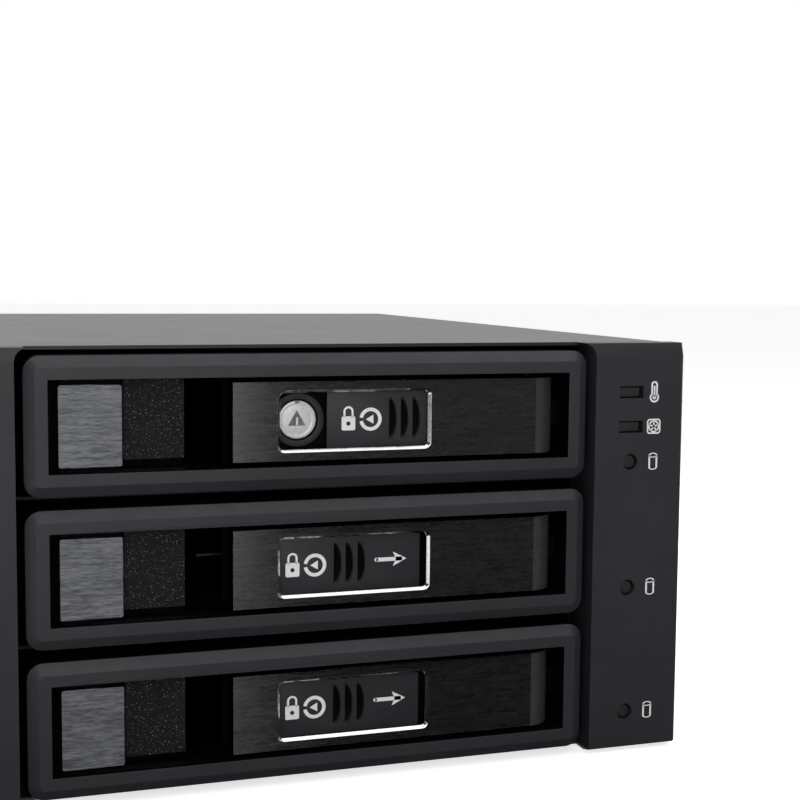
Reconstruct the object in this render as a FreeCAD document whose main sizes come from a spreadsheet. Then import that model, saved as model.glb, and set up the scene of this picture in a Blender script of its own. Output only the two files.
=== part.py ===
"""Hot swap drive cage: three lockable 3.5 inch drive trays in the room of two 5.25 inch bays.

Millimetres. X runs to the right seen from the front, Y runs back from the front face, Z runs up.
The origin is under the middle of the cage, on the surface that it stands on.
"""
import FreeCAD
import Part
import Sketcher

import os
import re

TRAY_COUNT = 3
FAN_BLADES = 7
LEVER_CELLS = 4
GRIP_GROOVES = 3
POWER_POLES = 4

SIZES = [
    # the cage as a whole
    ("bezel_width", 148.0, "over both front pillars"),
    ("cage_height", 84.6, "two bays high"),
    ("cage_depth", 204.0, "front face to the back edge of the shell"),
    ("body_width", 146.0, "over the steel shell"),
    ("sheet_gauge", 0.7, "steel sheet"),
    ("bend_radius", 1.4, "outside of a bend in the sheet"),
    ("base_rise", 7.0, "upturned edges of the floor"),
    ("shell_setback", 6.0, "shell's front edge behind the front face"),
    ("seat_clearance", 0.15, "between a moulding and the sheet that it seats in"),
    ("overrun", 1.0, "a cut starts and ends this far outside the material"),
    # front pillars
    ("left_pillar_width", 14.5, ""),
    ("right_pillar_width", 20.0, ""),
    ("pillar_bevel_height", 2.6, "sloped band along the top and bottom"),
    ("pillar_bevel_depth", 0.7, ""),
    ("pillar_edge_radius", 0.9, "outer edge"),
    ("pillar_wall", 2.0, "moulding's wall"),
    ("spigot_depth", 3.0, "tail that plugs into the shell"),
    ("opening_corner_radius", 2.6, "web at the top corners of the tray opening"),
    # lamps in the right pillar
    ("lamp_inset", 12.0, "lamps in from the pillar's outer edge"),
    ("status_lamp_width", 5.35, ""),
    ("status_lamp_height", 2.45, ""),
    ("heat_lamp_drop", 10.0, "heat lamp below the top"),
    ("fan_lamp_drop", 17.1, "fan lamp below the top"),
    ("drive_lamp_drop", 24.3, "first drive lamp below the top"),
    ("drive_lamp_pitch", 26.1, ""),
    ("drive_lamp_radius", 1.65, ""),
    ("lens_recess", 0.5, "lens face behind the pillar's face"),
    ("lens_clearance", 0.1, ""),
    ("lens_flange", 0.7, "step that stops a lens behind its hole"),
    ("lamp_board_thickness", 1.6, ""),
    ("lamp_board_margin", 4.0, "board past the last lamp, and below the cage's top"),
    ("lamp_length", 3.0, "lamp on the board, square in plan"),
    ("lamp_rise", 1.0, "lamp above the board"),
    ("lamp_gap", 0.2, "lamp to its lens"),
    ("lens_step", 1.0, "thickness of a lens's flange"),
    ("lamp_plug_width", 6.0, ""),
    ("lamp_plug_depth", 5.0, ""),
    ("lamp_plug_height", 16.0, ""),
    # tray front
    ("tray_pitch", 28.0, ""),
    ("tray_face_height", 25.7, ""),
    ("tray_face_depth", 12.0, ""),
    ("tray_face_setback", 0.3, "tray's face behind the pillars' faces"),
    ("top_reveal", 1.55, "gap above the top tray"),
    ("tray_side_gap", 1.5, "tray to pillar"),
    ("tray_corner_radius", 3.0, ""),
    ("bevel_width", 2.05, "sloped rim of a tray's face"),
    ("bevel_depth", 1.4, ""),
    ("band_width", 2.25, "flat band between the rim and the window"),
    ("face_recess", 0.8, "lever and cap behind the tray's face"),
    ("tray_back_wall", 1.0, ""),
    ("back_vent_width", 2.0, ""),
    ("back_vent_pitch", 4.2, ""),
    ("back_vent_margin", 2.0, "vent's end to the window's edge"),
    ("seat_step", 0.4, "seats behind a cap are this much smaller than the cap"),
    ("seat_bite", 1.0, "seats run this far into the frame round the window"),
    ("sill_height", 0.5, "light lip under the filter"),
    # cap, filter and finger gap, from left to right in the window
    ("cap_gap", 1.7, "window's edge to the cap"),
    ("cap_width", 11.6, ""),
    ("cap_height", 15.2, ""),
    ("cap_gauge", 1.0, ""),
    ("filter_width", 11.2, ""),
    ("filter_joint", 0.2, "between cap and filter"),
    ("filter_drop", 6.4, "filter's lower edge below the tray's middle"),
    ("filter_recess", 2.2, "filter's face behind the tray's face"),
    ("filter_thickness", 3.0, ""),
    ("finger_gap_width", 8.9, ""),
    # lever
    ("lever_height", 15.1, ""),
    ("lever_gauge", 1.2, "metal face"),
    ("lever_body_depth", 5.2, "moulding behind the face"),
    ("lever_body_inset", 0.35, "moulding inside the face's outline"),
    ("lever_wall", 1.4, "walls of the moulding"),
    ("hinge_gap", 1.8, "lever's round end to the window's edge"),
    ("hinge_radius", 5.2, "round end of the lever"),
    ("pin_radius", 1.2, ""),
    ("pin_seat_clearance", 0.02, "pin in the tray"),
    ("running_clearance", 0.05, "between a pin or core and what turns on it"),
    ("pin_reach", 2.0, "pin's end inside the tray's wall"),
    ("hook_reach", 10.4, "latch hook past the hinge's axis"),
    ("hook_thickness", 1.8, ""),
    ("hook_height", 4.8, ""),
    ("hook_clearance", 0.6, ""),
    ("hook_tooth", 1.3, "thickness of the hook's turned end"),
    ("hook_rise", 1.1, "tooth in front of the hook's arm"),
    # slot in the lever, the cover that slides in it and the lock
    ("slot_offset", 9.1, "lever's free end to the slot"),
    ("slot_length", 29.6, ""),
    ("slot_height", 10.85, ""),
    ("slot_radius", 0.8, ""),
    ("slot_chamfer", 0.5, "bright edge"),
    ("cover_length", 30.1, ""),
    ("cover_gauge", 1.2, ""),
    ("cover_lap", 0.2, "cover under the slot's long edges"),
    ("cover_tail", 1.6, "cover under the slot's end when the lock is hidden"),
    ("cover_travel", 11.0, ""),
    ("sliding_clearance", 0.15, ""),
    ("grip_pitch", 2.4, "grooves for a fingernail"),
    ("grip_width", 1.3, ""),
    ("grip_height", 8.0, ""),
    ("grip_depth", 0.5, ""),
    ("grip_offset", 12.5, "cover's left end to the first groove"),
    ("grip_radius", 7.0, "a groove's left side is straight and its right side is this arc"),
    ("lock_offset", 4.0, "slot's left end to the lock's axis"),
    ("lock_radius", 3.7, ""),
    ("lock_length", 4.6, ""),
    ("lock_boss", 1.4, "wall round the lock"),
    ("lock_floor", 0.6, "wall behind the lock"),
    ("lock_rim", 0.45, "sloped edge of the lock's face"),
    ("key_side", 3.9, "triangular key recess"),
    ("key_depth", 1.6, ""),
    # tray carrier
    ("drive_width", 101.6, "3.5 inch drive"),
    ("drive_length", 147.0, ""),
    ("drive_front", 18.0, "drive's front end behind the cage's face"),
    ("drive_clearance", 0.2, ""),
    ("rail_gauge", 3.4, ""),
    ("rail_rise", 10.0, "rail's top above the tray's middle"),
    ("rail_short", 5.0, "rail ends this far before the drive's end"),
    ("rail_windows", 3.0, "lightening windows in a rail"),
    ("rail_window_length", 22.0, ""),
    ("floor_drop", 13.2, "carrier's underside below the tray's middle"),
    ("floor_gauge", 0.8, ""),
    ("strap_width", 14.0, "straps under the drive"),
    ("side_strap", 6.0, "strap under each edge of the drive"),
    ("rail_window_sill", 2.5, "window above the carrier's underside"),
    ("rail_window_head", 1.0, "window below the tongue"),
    ("tongue_width", 1.45, "rib that runs in the guide"),
    ("tongue_height", 3.8, ""),
    ("drive_screw_radius", 1.8, ""),
    ("drive_screw_back", 28.5, "rear screw hole before the drive's back end"),
    ("drive_screw_spacing", 101.6, ""),
    ("drive_screw_height", 6.35, "above the drive's underside"),
    # guides and inner walls
    ("guide_clearance", 0.3, ""),
    ("guide_web", 1.4, ""),
    ("guide_ledge", 2.2, ""),
    ("guide_lead_in", 2.0, "sloped mouth of a guide"),
    ("wall_flange", 8.0, ""),
    ("wall_vent_height", 4.0, ""),
    ("shelf_gauge", 0.6, ""),
    ("shelf_depth", 40.0, ""),
    ("shelf_rise", 13.8, "shelf's underside above the middle of the tray below"),
    ("shelf_hole", 4.0, ""),
    ("shelf_hole_pitch", 6.0, ""),
    # board at the back, its sockets and ports
    ("socket_width", 46.0, ""),
    ("socket_height", 5.6, ""),
    ("socket_depth", 6.0, ""),
    ("socket_offset", 14.0, "socket's middle right of the tray's middle"),
    ("socket_drop", 8.0, "socket's middle below the tray's middle"),
    ("socket_slot_height", 2.4, ""),
    ("socket_slot_depth", 5.0, ""),
    ("data_slot_left", -19.5, "from the socket's middle"),
    ("data_slot_right", -8.2, ""),
    ("power_slot_left", -5.6, ""),
    ("power_slot_right", 16.2, ""),
    ("board_gauge", 1.6, ""),
    ("board_margin", 2.6, "board's edge to the sheet above and below"),
    ("board_screw_inset", 5.0, "screws from the board's edge"),
    ("board_air_gap", 1.5, "air window above a socket"),
    ("board_air_height", 6.2, "ends below the sight line over the tray's front"),
    ("board_rib", 5.0, "between the air windows"),
    ("board_frame", 10.0, "air window inside the rails"),
    ("port_width", 14.0, ""),
    ("port_height", 5.0, ""),
    ("port_depth", 8.0, ""),
    ("power_width", 10.6, ""),
    ("power_height", 21.0, ""),
    ("power_depth", 10.0, ""),
    ("plug_wall", 1.3, "wall of a port or plug"),
    ("plug_floor", 2.0, ""),
    ("pole_pitch", 5.08, ""),
    ("pole_width", 2.0, ""),
    ("screw_radius", 1.5, ""),
    ("screw_clearance", 0.2, "hole round a screw"),
    ("screw_head_radius", 2.8, ""),
    ("screw_head_height", 1.6, ""),
    ("fan_screw_length", 10.0, ""),
    ("case_screw_length", 5.0, "flush in the shell"),
    # bay mounting holes, two bays on each side
    ("bay_hole_radius", 1.6, ""),
    ("bay_hole_front", 52.3, "first hole behind the front face"),
    ("bay_hole_spacing", 79.25, ""),
    ("bay_hole_height", 10.0, "lower hole above a bay's floor"),
    ("bay_hole_rise", 11.84, ""),
    ("bay_pitch", 42.3, ""),
    # fan
    ("fan_size", 80.0, ""),
    ("fan_thickness", 25.0, ""),
    ("fan_bore_radius", 38.0, ""),
    ("fan_hole_spacing", 71.5, ""),
    ("fan_corner_radius", 4.0, ""),
    ("fan_hub_radius", 16.0, ""),
    ("fan_hub_base", 4.0, ""),
    ("fan_strut_width", 3.0, ""),
    ("fan_tip_gap", 1.2, "blade tip to the bore"),
    ("fan_shaft_radius", 1.5, ""),
    ("fan_end_gap", 0.8, "rotor to the hub base and to the fan's front"),
    ("blade_root_pitch", 48.0, "degrees from the axis"),
    ("blade_tip_pitch", 62.0, ""),
    ("blade_root_chord", 17.0, ""),
    ("blade_tip_chord", 26.0, ""),
    ("blade_gauge", 1.3, ""),
    ("rear_panel_setback", 1.0, "panel inside the shell's back edge"),
    ("rear_window_height", 66.0, ""),
    ("rear_window_margin", 5.0, "rear window to the fan and to the panel's edge"),
    ("guard_gauge", 1.0, ""),
    ("guard_width", 1.8, "guard's rings"),
    ("guard_pitch", 9.0, "between the guard's rings"),
]

PLACES = [
    ("opening_left", "left_pillar_width - bezel_width / 2"),
    ("opening_right", "bezel_width / 2 - right_pillar_width"),
    ("tray_left", "opening_left + tray_side_gap"),
    ("tray_right", "opening_right - tray_side_gap"),
    ("tray_middle", "(tray_left + tray_right) / 2"),
    ("tray_half", "tray_face_height / 2"),
    ("top_tray_z", "cage_height - top_reveal - tray_half"),
    ("tray_back", "tray_face_setback + tray_face_depth"),
    ("window_left", "tray_left + bevel_width + band_width"),
    ("window_right", "tray_right - bevel_width - band_width"),
    ("window_half", "tray_half - bevel_width - band_width"),
    ("face_front", "tray_face_setback + face_recess"),
    ("cap_left", "window_left + cap_gap"),
    ("cap_right", "cap_left + cap_width"),
    ("cap_back", "face_front + cap_gauge"),
    ("filter_left", "cap_right + filter_joint"),
    ("filter_right", "filter_left + filter_width"),
    ("filter_back", "tray_face_setback + filter_recess + filter_thickness"),
    ("lever_left", "filter_right + finger_gap_width"),
    ("lever_right", "window_right - hinge_gap"),
    ("lever_half", "lever_height / 2"),
    ("lever_skin", "face_front + lever_gauge"),
    ("lever_back", "lever_skin + lever_body_depth"),
    ("hinge_x", "lever_right - hinge_radius"),
    ("hinge_y", "face_front + hinge_radius"),
    ("slot_left", "lever_left + slot_offset"),
    ("slot_right", "slot_left + slot_length"),
    ("cover_left", "slot_left - cover_tail"),
    ("cover_front", "lever_skin + sliding_clearance"),
    ("cover_back", "cover_front + cover_gauge"),
    ("cover_half", "slot_height / 2 + cover_lap"),
    ("channel_back", "cover_back + 2 * sliding_clearance"),
    ("lock_x", "slot_left + lock_offset"),
    ("lock_front", "channel_back + sliding_clearance"),
    ("lock_back", "lock_front + lock_length"),
    ("rail_inner", "drive_width / 2 + drive_clearance"),
    ("rail_outer", "rail_inner + rail_gauge"),
    ("rail_back", "drive_front + drive_length - rail_short"),
    ("tongue_outer", "rail_outer + tongue_width"),
    ("guide_inner", "tongue_outer + guide_clearance"),
    ("guide_outer", "guide_inner + guide_web"),
    ("wall_outer", "guide_outer + sheet_gauge"),
    ("wall_front", "shell_setback + spigot_depth + seat_clearance"),
    ("drive_back", "drive_front + drive_length"),
    ("rear_screw_y", "drive_back - drive_screw_back"),
    ("board_front", "drive_back + socket_depth"),
    ("board_back", "board_front + board_gauge"),
    ("side_inner", "body_width / 2 - sheet_gauge"),
    ("roof_under", "cage_height - sheet_gauge"),
    ("rear_panel_back", "cage_depth - rear_panel_setback"),
    ("rear_panel_front", "rear_panel_back - sheet_gauge"),
    ("fan_z", "cage_height / 2"),
    ("fan_front", "rear_panel_front - fan_thickness"),
    ("lamp_x", "bezel_width / 2 - lamp_inset"),
    ("whole_depth", "rear_panel_back + guard_gauge + screw_head_height"),
]

doc = FreeCAD.newDocument("DriveCage")
sizes = doc.addObject("Spreadsheet::Sheet", "Sizes")
places = doc.addObject("Spreadsheet::Sheet", "Places")
SIZE_NAMES = {name for name, value, note in SIZES}
PLACE_NAMES = {name for name, formula in PLACES}
nodes = []


def bound(text):
    """Turn the plain names in a formula into references to the two sheets."""
    def reference(match):
        word = match.group(0)
        if word in SIZE_NAMES:
            return "Sizes." + word
        if word in PLACE_NAMES:
            return "Places." + word
        return word
    return re.sub(r"[a-z][a-z_]*", reference, str(text))


def fill_sheets():
    for row, (name, value, note) in enumerate(SIZES, start=1):
        sizes.set(f"A{row}", name.replace("_", " ") + (", " + note if note else ""))
        sizes.set(f"B{row}", str(value))
        sizes.setAlias(f"B{row}", name)
    doc.recompute()
    for row, (name, formula) in enumerate(PLACES, start=1):
        places.set(f"A{row}", name.replace("_", " "))
        places.set(f"B{row}", "=" + bound(formula).replace("Places.", ""))
        places.setAlias(f"B{row}", name)
    doc.recompute()


def value(text):
    """The present value of a formula, in millimetres."""
    result = sizes.evalExpression(bound(text))
    return getattr(result, "Value", result)


def tray_z(number):
    """Height of a tray's middle. Tray 1 is the top one."""
    return f"top_tray_z - {number - 1} * tray_pitch"


# ---- solids from primitives ----

def box(name, x, y, z):
    """A block between a low and a high place along each axis."""
    block = doc.addObject("Part::Box", name)
    for side, axis, (low, high) in zip(("Length", "Width", "Height"), "xyz", (x, y, z)):
        block.setExpression(side, bound(f"({high}) - ({low})"))
        block.setExpression("Placement.Base." + axis, bound(low))
    return block


def rod(name, direction, centre, radius, start, end):
    """A round bar along X, Y or Z. centre holds the other two places, in the order X, Y, Z."""
    bar = doc.addObject("Part::Cylinder", name)
    turn = {
        "x": FreeCAD.Rotation(FreeCAD.Vector(0, 1, 0), 90),
        "y": FreeCAD.Rotation(FreeCAD.Vector(1, 0, 0), -90),
        "z": FreeCAD.Rotation(),
    }
    bar.Placement = FreeCAD.Placement(FreeCAD.Vector(), turn[direction])
    bar.setExpression("Radius", bound(radius))
    bar.setExpression("Height", bound(f"({end}) - ({start})"))
    across = [axis for axis in "xyz" if axis != direction]
    bar.setExpression("Placement.Base." + direction, bound(start))
    for axis, place in zip(across, centre):
        bar.setExpression("Placement.Base." + axis, bound(place))
    return bar


def joined(name, pieces):
    result = doc.addObject("Part::MultiFuse", name)
    result.Shapes = pieces
    result.Refine = True
    return result


def cut(name, base, tools):
    result = doc.addObject("Part::Cut", name)
    result.Base = base
    result.Tool = tools[0] if len(tools) == 1 else joined(name + "_tools", tools)
    result.Refine = True
    return result


# ---- solids from sketches ----

def new_body(name):
    return doc.addObject("PartDesign::Body", name)


def sketch_on(body, plane_name, name, offset="0"):
    """An empty sketch on one of the body's own planes, offset along the plane's normal."""
    plane = next(part for part in body.Origin.OriginFeatures if part.Role == plane_name)
    sketch = body.newObject("Sketcher::SketchObject", name)
    sketch.AttachmentSupport = (plane, [""])
    sketch.MapMode = "FlatFace"
    sketch.setExpression("AttachmentOffset.Base.z", bound(offset))
    return sketch


def front_sketch(body, name, y):
    """A sketch that faces the front, in X and Z, at a distance y behind the front face."""
    return sketch_on(body, "XZ_Plane", name, f"-({y})")


def hold(sketch, kind, first, first_point, second, second_point, place):
    """Dimension one point of a sketch from another, by a formula."""
    constraint = Sketcher.Constraint(kind, first, first_point, second, second_point, value(place))
    index = sketch.addConstraint(constraint)
    sketch.setExpression(f"Constraints[{index}]", bound(place))


def outline(sketch, points):
    """A closed run of straight edges, each corner held at its place."""
    spots = [FreeCAD.Vector(value(x), value(y), 0) for x, y in points]
    start = sketch.GeometryCount
    total = len(points)
    for index in range(total):
        edge = Part.LineSegment(spots[index], spots[(index + 1) % total])
        sketch.addGeometry(edge, False)
    for index in range(total):
        following = start + (index + 1) % total
        sketch.addConstraint(Sketcher.Constraint("Coincident", start + index, 2, following, 1))
    for index, (x, y) in enumerate(points):
        hold(sketch, "DistanceX", -1, 1, start + index, 1, x)
        hold(sketch, "DistanceY", -1, 1, start + index, 1, y)


def rectangle(sketch, left, right, low, high):
    outline(sketch, [(left, low), (right, low), (right, high), (left, high)])


def circle(sketch, x, y, radius):
    centre = FreeCAD.Vector(value(x), value(y), 0)
    index = sketch.addGeometry(Part.Circle(centre, FreeCAD.Vector(0, 0, 1), value(radius)), False)
    hold(sketch, "DistanceX", -1, 1, index, 3, x)
    hold(sketch, "DistanceY", -1, 1, index, 3, y)
    size = sketch.addConstraint(Sketcher.Constraint("Radius", index, value(radius)))
    sketch.setExpression(f"Constraints[{size}]", bound(radius))


def extrude(body, kind, sketch, length, reverse=False):
    """Pad or pocket a sketch. A front sketch's pad goes back with reverse, its pocket without."""
    feature = body.newObject("PartDesign::" + kind, sketch.Name + "_" + kind.lower())
    feature.Profile = sketch
    feature.setExpression("Length", bound(length))
    feature.Reversed = reverse
    return feature


def repeated(body, feature, axis_name, length, count):
    """Repeat a feature along one of the body's axes, over a length from first to last."""
    pattern = body.newObject("PartDesign::LinearPattern", feature.Name + "Row")
    axis = next(part for part in body.Origin.OriginFeatures if part.Role == axis_name)
    pattern.Originals = [feature]
    pattern.Direction = (axis, [""])
    pattern.setExpression("Length", bound(length))
    pattern.Occurrences = count
    body.Tip = pattern
    return pattern


def dress(body, kind, wanted, size, name):
    """Round or bevel the edges of the body that the wanted test picks."""
    doc.recompute()
    tip = body.Tip
    picked = [f"Edge{n}" for n, edge in enumerate(tip.Shape.Edges, start=1) if wanted(edge)]
    feature = body.newObject("PartDesign::" + kind, name)
    feature.Base = (tip, picked)
    feature.setExpression("Radius" if kind == "Fillet" else "Size", bound(size))
    return feature


def runs_along(edge, axis):
    """True for a straight edge along an axis, such as Y."""
    if edge.Curve.TypeId != "Part::GeomLine":
        return False
    direction = edge.Curve.Direction
    return abs(abs(getattr(direction, axis)) - 1) < 1e-6


def lies_at(edge, axis, text):
    """True when the whole edge lies at one place along an axis."""
    bounds = edge.BoundBox
    place = value(text)
    low = getattr(bounds, axis.upper() + "Min")
    high = getattr(bounds, axis.upper() + "Max")
    return abs(low - place) < 1e-4 and abs(high - place) < 1e-4


def node(piece, label, z="0", x="0"):
    """Give a finished sub-part its name and its place, and keep it for the hand-over."""
    piece.Label = label
    piece.setExpression("Placement.Base.x", bound(x))
    piece.setExpression("Placement.Base.y", bound("-whole_depth / 2"))
    piece.setExpression("Placement.Base.z", bound(z))
    nodes.append(piece)
    return piece


# ---- steel case ----

def case_shell():
    """Roof and both sides in one folded sheet, with the bay mounting holes."""
    body = new_body("Shell")
    profile = front_sketch(body, "ShellProfile", "shell_setback")
    outer, inner = "body_width / 2", "side_inner"
    outline(profile, [
        (f"-{outer}", "0"), (f"-{inner}", "0"), (f"-{inner}", "roof_under"),
        (inner, "roof_under"), (inner, "0"), (outer, "0"),
        (outer, "cage_height"), (f"-{outer}", "cage_height"),
    ])
    extrude(body, "Pad", profile, "cage_depth - shell_setback", reverse=True)
    dress(body, "Fillet", lambda edge: runs_along(edge, "y") and lies_at(edge, "z", "cage_height"),
          "bend_radius", "ShellBends")
    dress(body, "Fillet", lambda edge: runs_along(edge, "y") and lies_at(edge, "z", "roof_under"),
          "bend_radius - sheet_gauge", "ShellBendInsides")
    holes = sketch_on(body, "YZ_Plane", "BayHoles", f"{outer} + overrun")
    for bay in range(2):
        for row in range(2):
            for column in range(2):
                circle(holes, f"bay_hole_front + {column} * bay_hole_spacing",
                       f"{bay} * bay_pitch + bay_hole_height + {row} * bay_hole_rise",
                       "bay_hole_radius")
    for height in case_screw_heights():
        circle(holes, case_screw_y(), height, "screw_radius + running_clearance")
    extrude(body, "Pocket", holes, "body_width + 2 * overrun")
    node(body, "case_shell")


def case_screw_heights():
    return ("cage_height / 5", "cage_height * 4 / 5")


def case_screw_y():
    return "rear_panel_front - wall_flange / 2"


def base_plate():
    """Floor of the case with an upturned edge along each side."""
    body = new_body("Base")
    profile = front_sketch(body, "BaseProfile", "shell_setback")
    outer = "side_inner - seat_clearance"
    inner = f"{outer} - sheet_gauge"
    outline(profile, [
        (f"-({outer})", "0"), (outer, "0"), (outer, "base_rise"), (inner, "base_rise"),
        (inner, "sheet_gauge"), (f"-({inner})", "sheet_gauge"), (f"-({inner})", "base_rise"),
        (f"-({outer})", "base_rise"),
    ])
    extrude(body, "Pad", profile, "cage_depth - shell_setback", reverse=True)
    node(body, "base_plate")


def side_sign(side):
    return "-1" if side == "left" else "1"


def span(side, near, far):
    """Low and high X of something on one side of the trays' middle, given by its distances."""
    if side == "left":
        return (f"tray_middle - ({far})", f"tray_middle - ({near})")
    return (f"tray_middle + ({near})", f"tray_middle + ({far})")


def inner_wall(side):
    """Steel wall beside the trays, flanged to the roof, to the floor and to the board."""
    name = "Wall" + side.capitalize()
    long_way = ("wall_front", "board_front")
    foot = "wall_outer - sheet_gauge + wall_flange"
    web = box(name + "Web", span(side, "wall_outer - sheet_gauge", "wall_outer"), long_way,
              ("sheet_gauge", "roof_under"))
    floor = box(name + "Foot", span(side, "wall_outer - sheet_gauge", foot), long_way,
                ("sheet_gauge", "2 * sheet_gauge"))
    roof = box(name + "Head", span(side, "wall_outer - sheet_gauge", foot), long_way,
               ("roof_under - sheet_gauge", "roof_under"))
    tail = box(name + "Tail", span(side, "wall_outer - sheet_gauge", foot),
               ("board_front - sheet_gauge", "board_front"), ("sheet_gauge", "roof_under"))
    wall = joined(name + "Sheet", [web, floor, roof, tail])
    vents = []
    for number in range(1, TRAY_COUNT + 1):
        for place in range(int(value("rail_windows"))):
            start = rail_window_start(place)
            low = f"{tray_z(number)} + tongue_height"
            vents.append(box(f"{name}Vent{number}{place}",
                             span(side, "wall_outer - 3 * sheet_gauge", "wall_outer + sheet_gauge"),
                             (start, f"{start} + rail_window_length"),
                             (f"{low} + guide_ledge", f"{low} + guide_ledge + wall_vent_height")))
    for index, (x, z) in enumerate(board_screws(side)):
        vents.append(rod(f"{name}Hole{index}", "y", (x, z), "screw_radius + running_clearance",
                         "board_front - 2 * sheet_gauge", "board_front + overrun"))
    node(cut(name, wall, vents), f"inner_wall_{side}")


def tray_guides(side):
    """Moulded guide with a channel for each tray's tongue. The channels' mouths are flared."""
    body = new_body("Guides" + side.capitalize())
    inner, outer = span(side, "guide_inner", "guide_outer")
    near = f"tray_middle {'-' if side == 'left' else '+'} guide_inner"
    web = sketch_on(body, "YZ_Plane", "Web" + side.capitalize(), inner)
    rectangle(web, "wall_front + sheet_gauge", "rail_back", "2 * sheet_gauge", "roof_under - sheet_gauge")
    extrude(body, "Pad", web, f"({outer}) - ({inner})")
    ledges = sketch_on(body, "YZ_Plane", "Ledges" + side.capitalize(), near)
    front = "tray_back + guide_clearance"
    gap = "tongue_height / 2 + guide_clearance"
    for number in range(1, TRAY_COUNT + 1):
        for sign in "+-":
            middle = tray_z(number)
            bottom, top = f"{middle} {sign} ({gap})", f"{middle} {sign} ({gap} + guide_ledge)"
            flare = f"{middle} {sign} ({gap} + guide_ledge / 2)"
            outline(ledges, [(front, flare), (f"{front} + guide_lead_in", bottom), ("rail_back", bottom),
                             ("rail_back", top), (front, top)])
    reach = "guide_inner - (rail_outer + guide_clearance)"
    extrude(body, "Pad", ledges, reach, reverse=side == "right")
    node(body, f"tray_guides_{side}")


def divider_shelf(number, label):
    """Thin perforated shelf above a tray, between the guides and the inner walls."""
    name = label.title().replace("_", "")
    body = new_body(name)
    low = f"{tray_z(number)} + shelf_rise"
    wall, guide = "(wall_outer - sheet_gauge)", "guide_inner"
    front, step = "wall_front", "wall_front + sheet_gauge"
    back = f"{front} + shelf_depth"
    plate = sketch_on(body, "XY_Plane", name + "Plate", low)
    outline(plate, [
        (f"tray_middle - {wall}", front), (f"tray_middle + {wall}", front),
        (f"tray_middle + {wall}", step), (f"tray_middle + {guide}", step),
        (f"tray_middle + {guide}", back), (f"tray_middle - {guide}", back),
        (f"tray_middle - {guide}", step), (f"tray_middle - {wall}", step),
    ])
    extrude(body, "Pad", plate, "shelf_gauge")
    columns = int(value("2 * (guide_inner - shelf_hole_pitch) / shelf_hole_pitch"))
    reach = f"({columns} - 1) * shelf_hole_pitch"
    holes = sketch_on(body, "XY_Plane", name + "Holes", f"{low} + shelf_gauge")
    for row in range(3):
        x = f"tray_middle - {reach} / 2"
        y = f"{front} + ({row} + 0.4) * 2 * shelf_hole_pitch"
        rectangle(holes, f"{x} - shelf_hole / 2", f"{x} + shelf_hole / 2", y, f"{y} + shelf_hole")
    first = extrude(body, "Pocket", holes, "shelf_gauge")
    repeated(body, first, "X_Axis", reach, columns)
    node(body, label)


def rear_panel():
    """Panel behind the fan, open in front of the board's ports, with a flange at each side."""
    half = "side_inner - seat_clearance"
    plate_y = ("rear_panel_front", "rear_panel_back")
    plate = box("RearPlate", (f"-({half})", half), plate_y,
                ("sheet_gauge + seat_clearance", "roof_under - seat_clearance"))
    flange_y = ("rear_panel_front - wall_flange", "rear_panel_back")
    edge = f"{half} - sheet_gauge"
    rise = ("base_rise + overrun", "roof_under - bend_radius")
    left = box("RearFlangeLeft", (f"-({half})", f"-({edge})"), flange_y, rise)
    right = box("RearFlangeRight", (edge, half), flange_y, rise)
    sheet = joined("RearSheet", [plate, left, right])
    through = ("rear_panel_front - overrun", "rear_panel_back + overrun")
    tools = [rod("RearDuct", "y", ("tray_middle", "fan_z"), "fan_bore_radius", *through)]
    base_edge = f"{edge} - 2 * seat_clearance"
    notch_z = ("0", "base_rise + seat_clearance")
    tools.append(box("RearNotchLeft", (f"-({half} + overrun)", f"-({base_edge})"), through, notch_z))
    tools.append(box("RearNotchRight", (base_edge, f"{half} + overrun"), through, notch_z))
    for index, (x, z) in enumerate(fan_corners()):
        tools.append(rod(f"RearFanHole{index}", "y", (x, z), "screw_radius + screw_clearance", *through))
    height = ("fan_z - rear_window_height / 2", "fan_z + rear_window_height / 2")
    near = "fan_size / 2 + rear_window_margin"
    tools.append(box("RearWindowLeft", (f"-({edge}) + rear_window_margin", f"tray_middle - ({near})"),
                     through, height))
    tools.append(box("RearWindowRight", (f"tray_middle + {near}", f"{edge} - rear_window_margin"),
                     through, height))
    for index, height in enumerate(case_screw_heights()):
        tools.append(rod(f"RearScrewHole{index}", "x", (case_screw_y(), height),
                         "screw_radius + running_clearance", f"-({half} + overrun)", f"{half} + overrun"))
    node(cut("RearPanel", sheet, tools), "rear_panel")


# ---- front pillars and lamps ----

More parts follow.
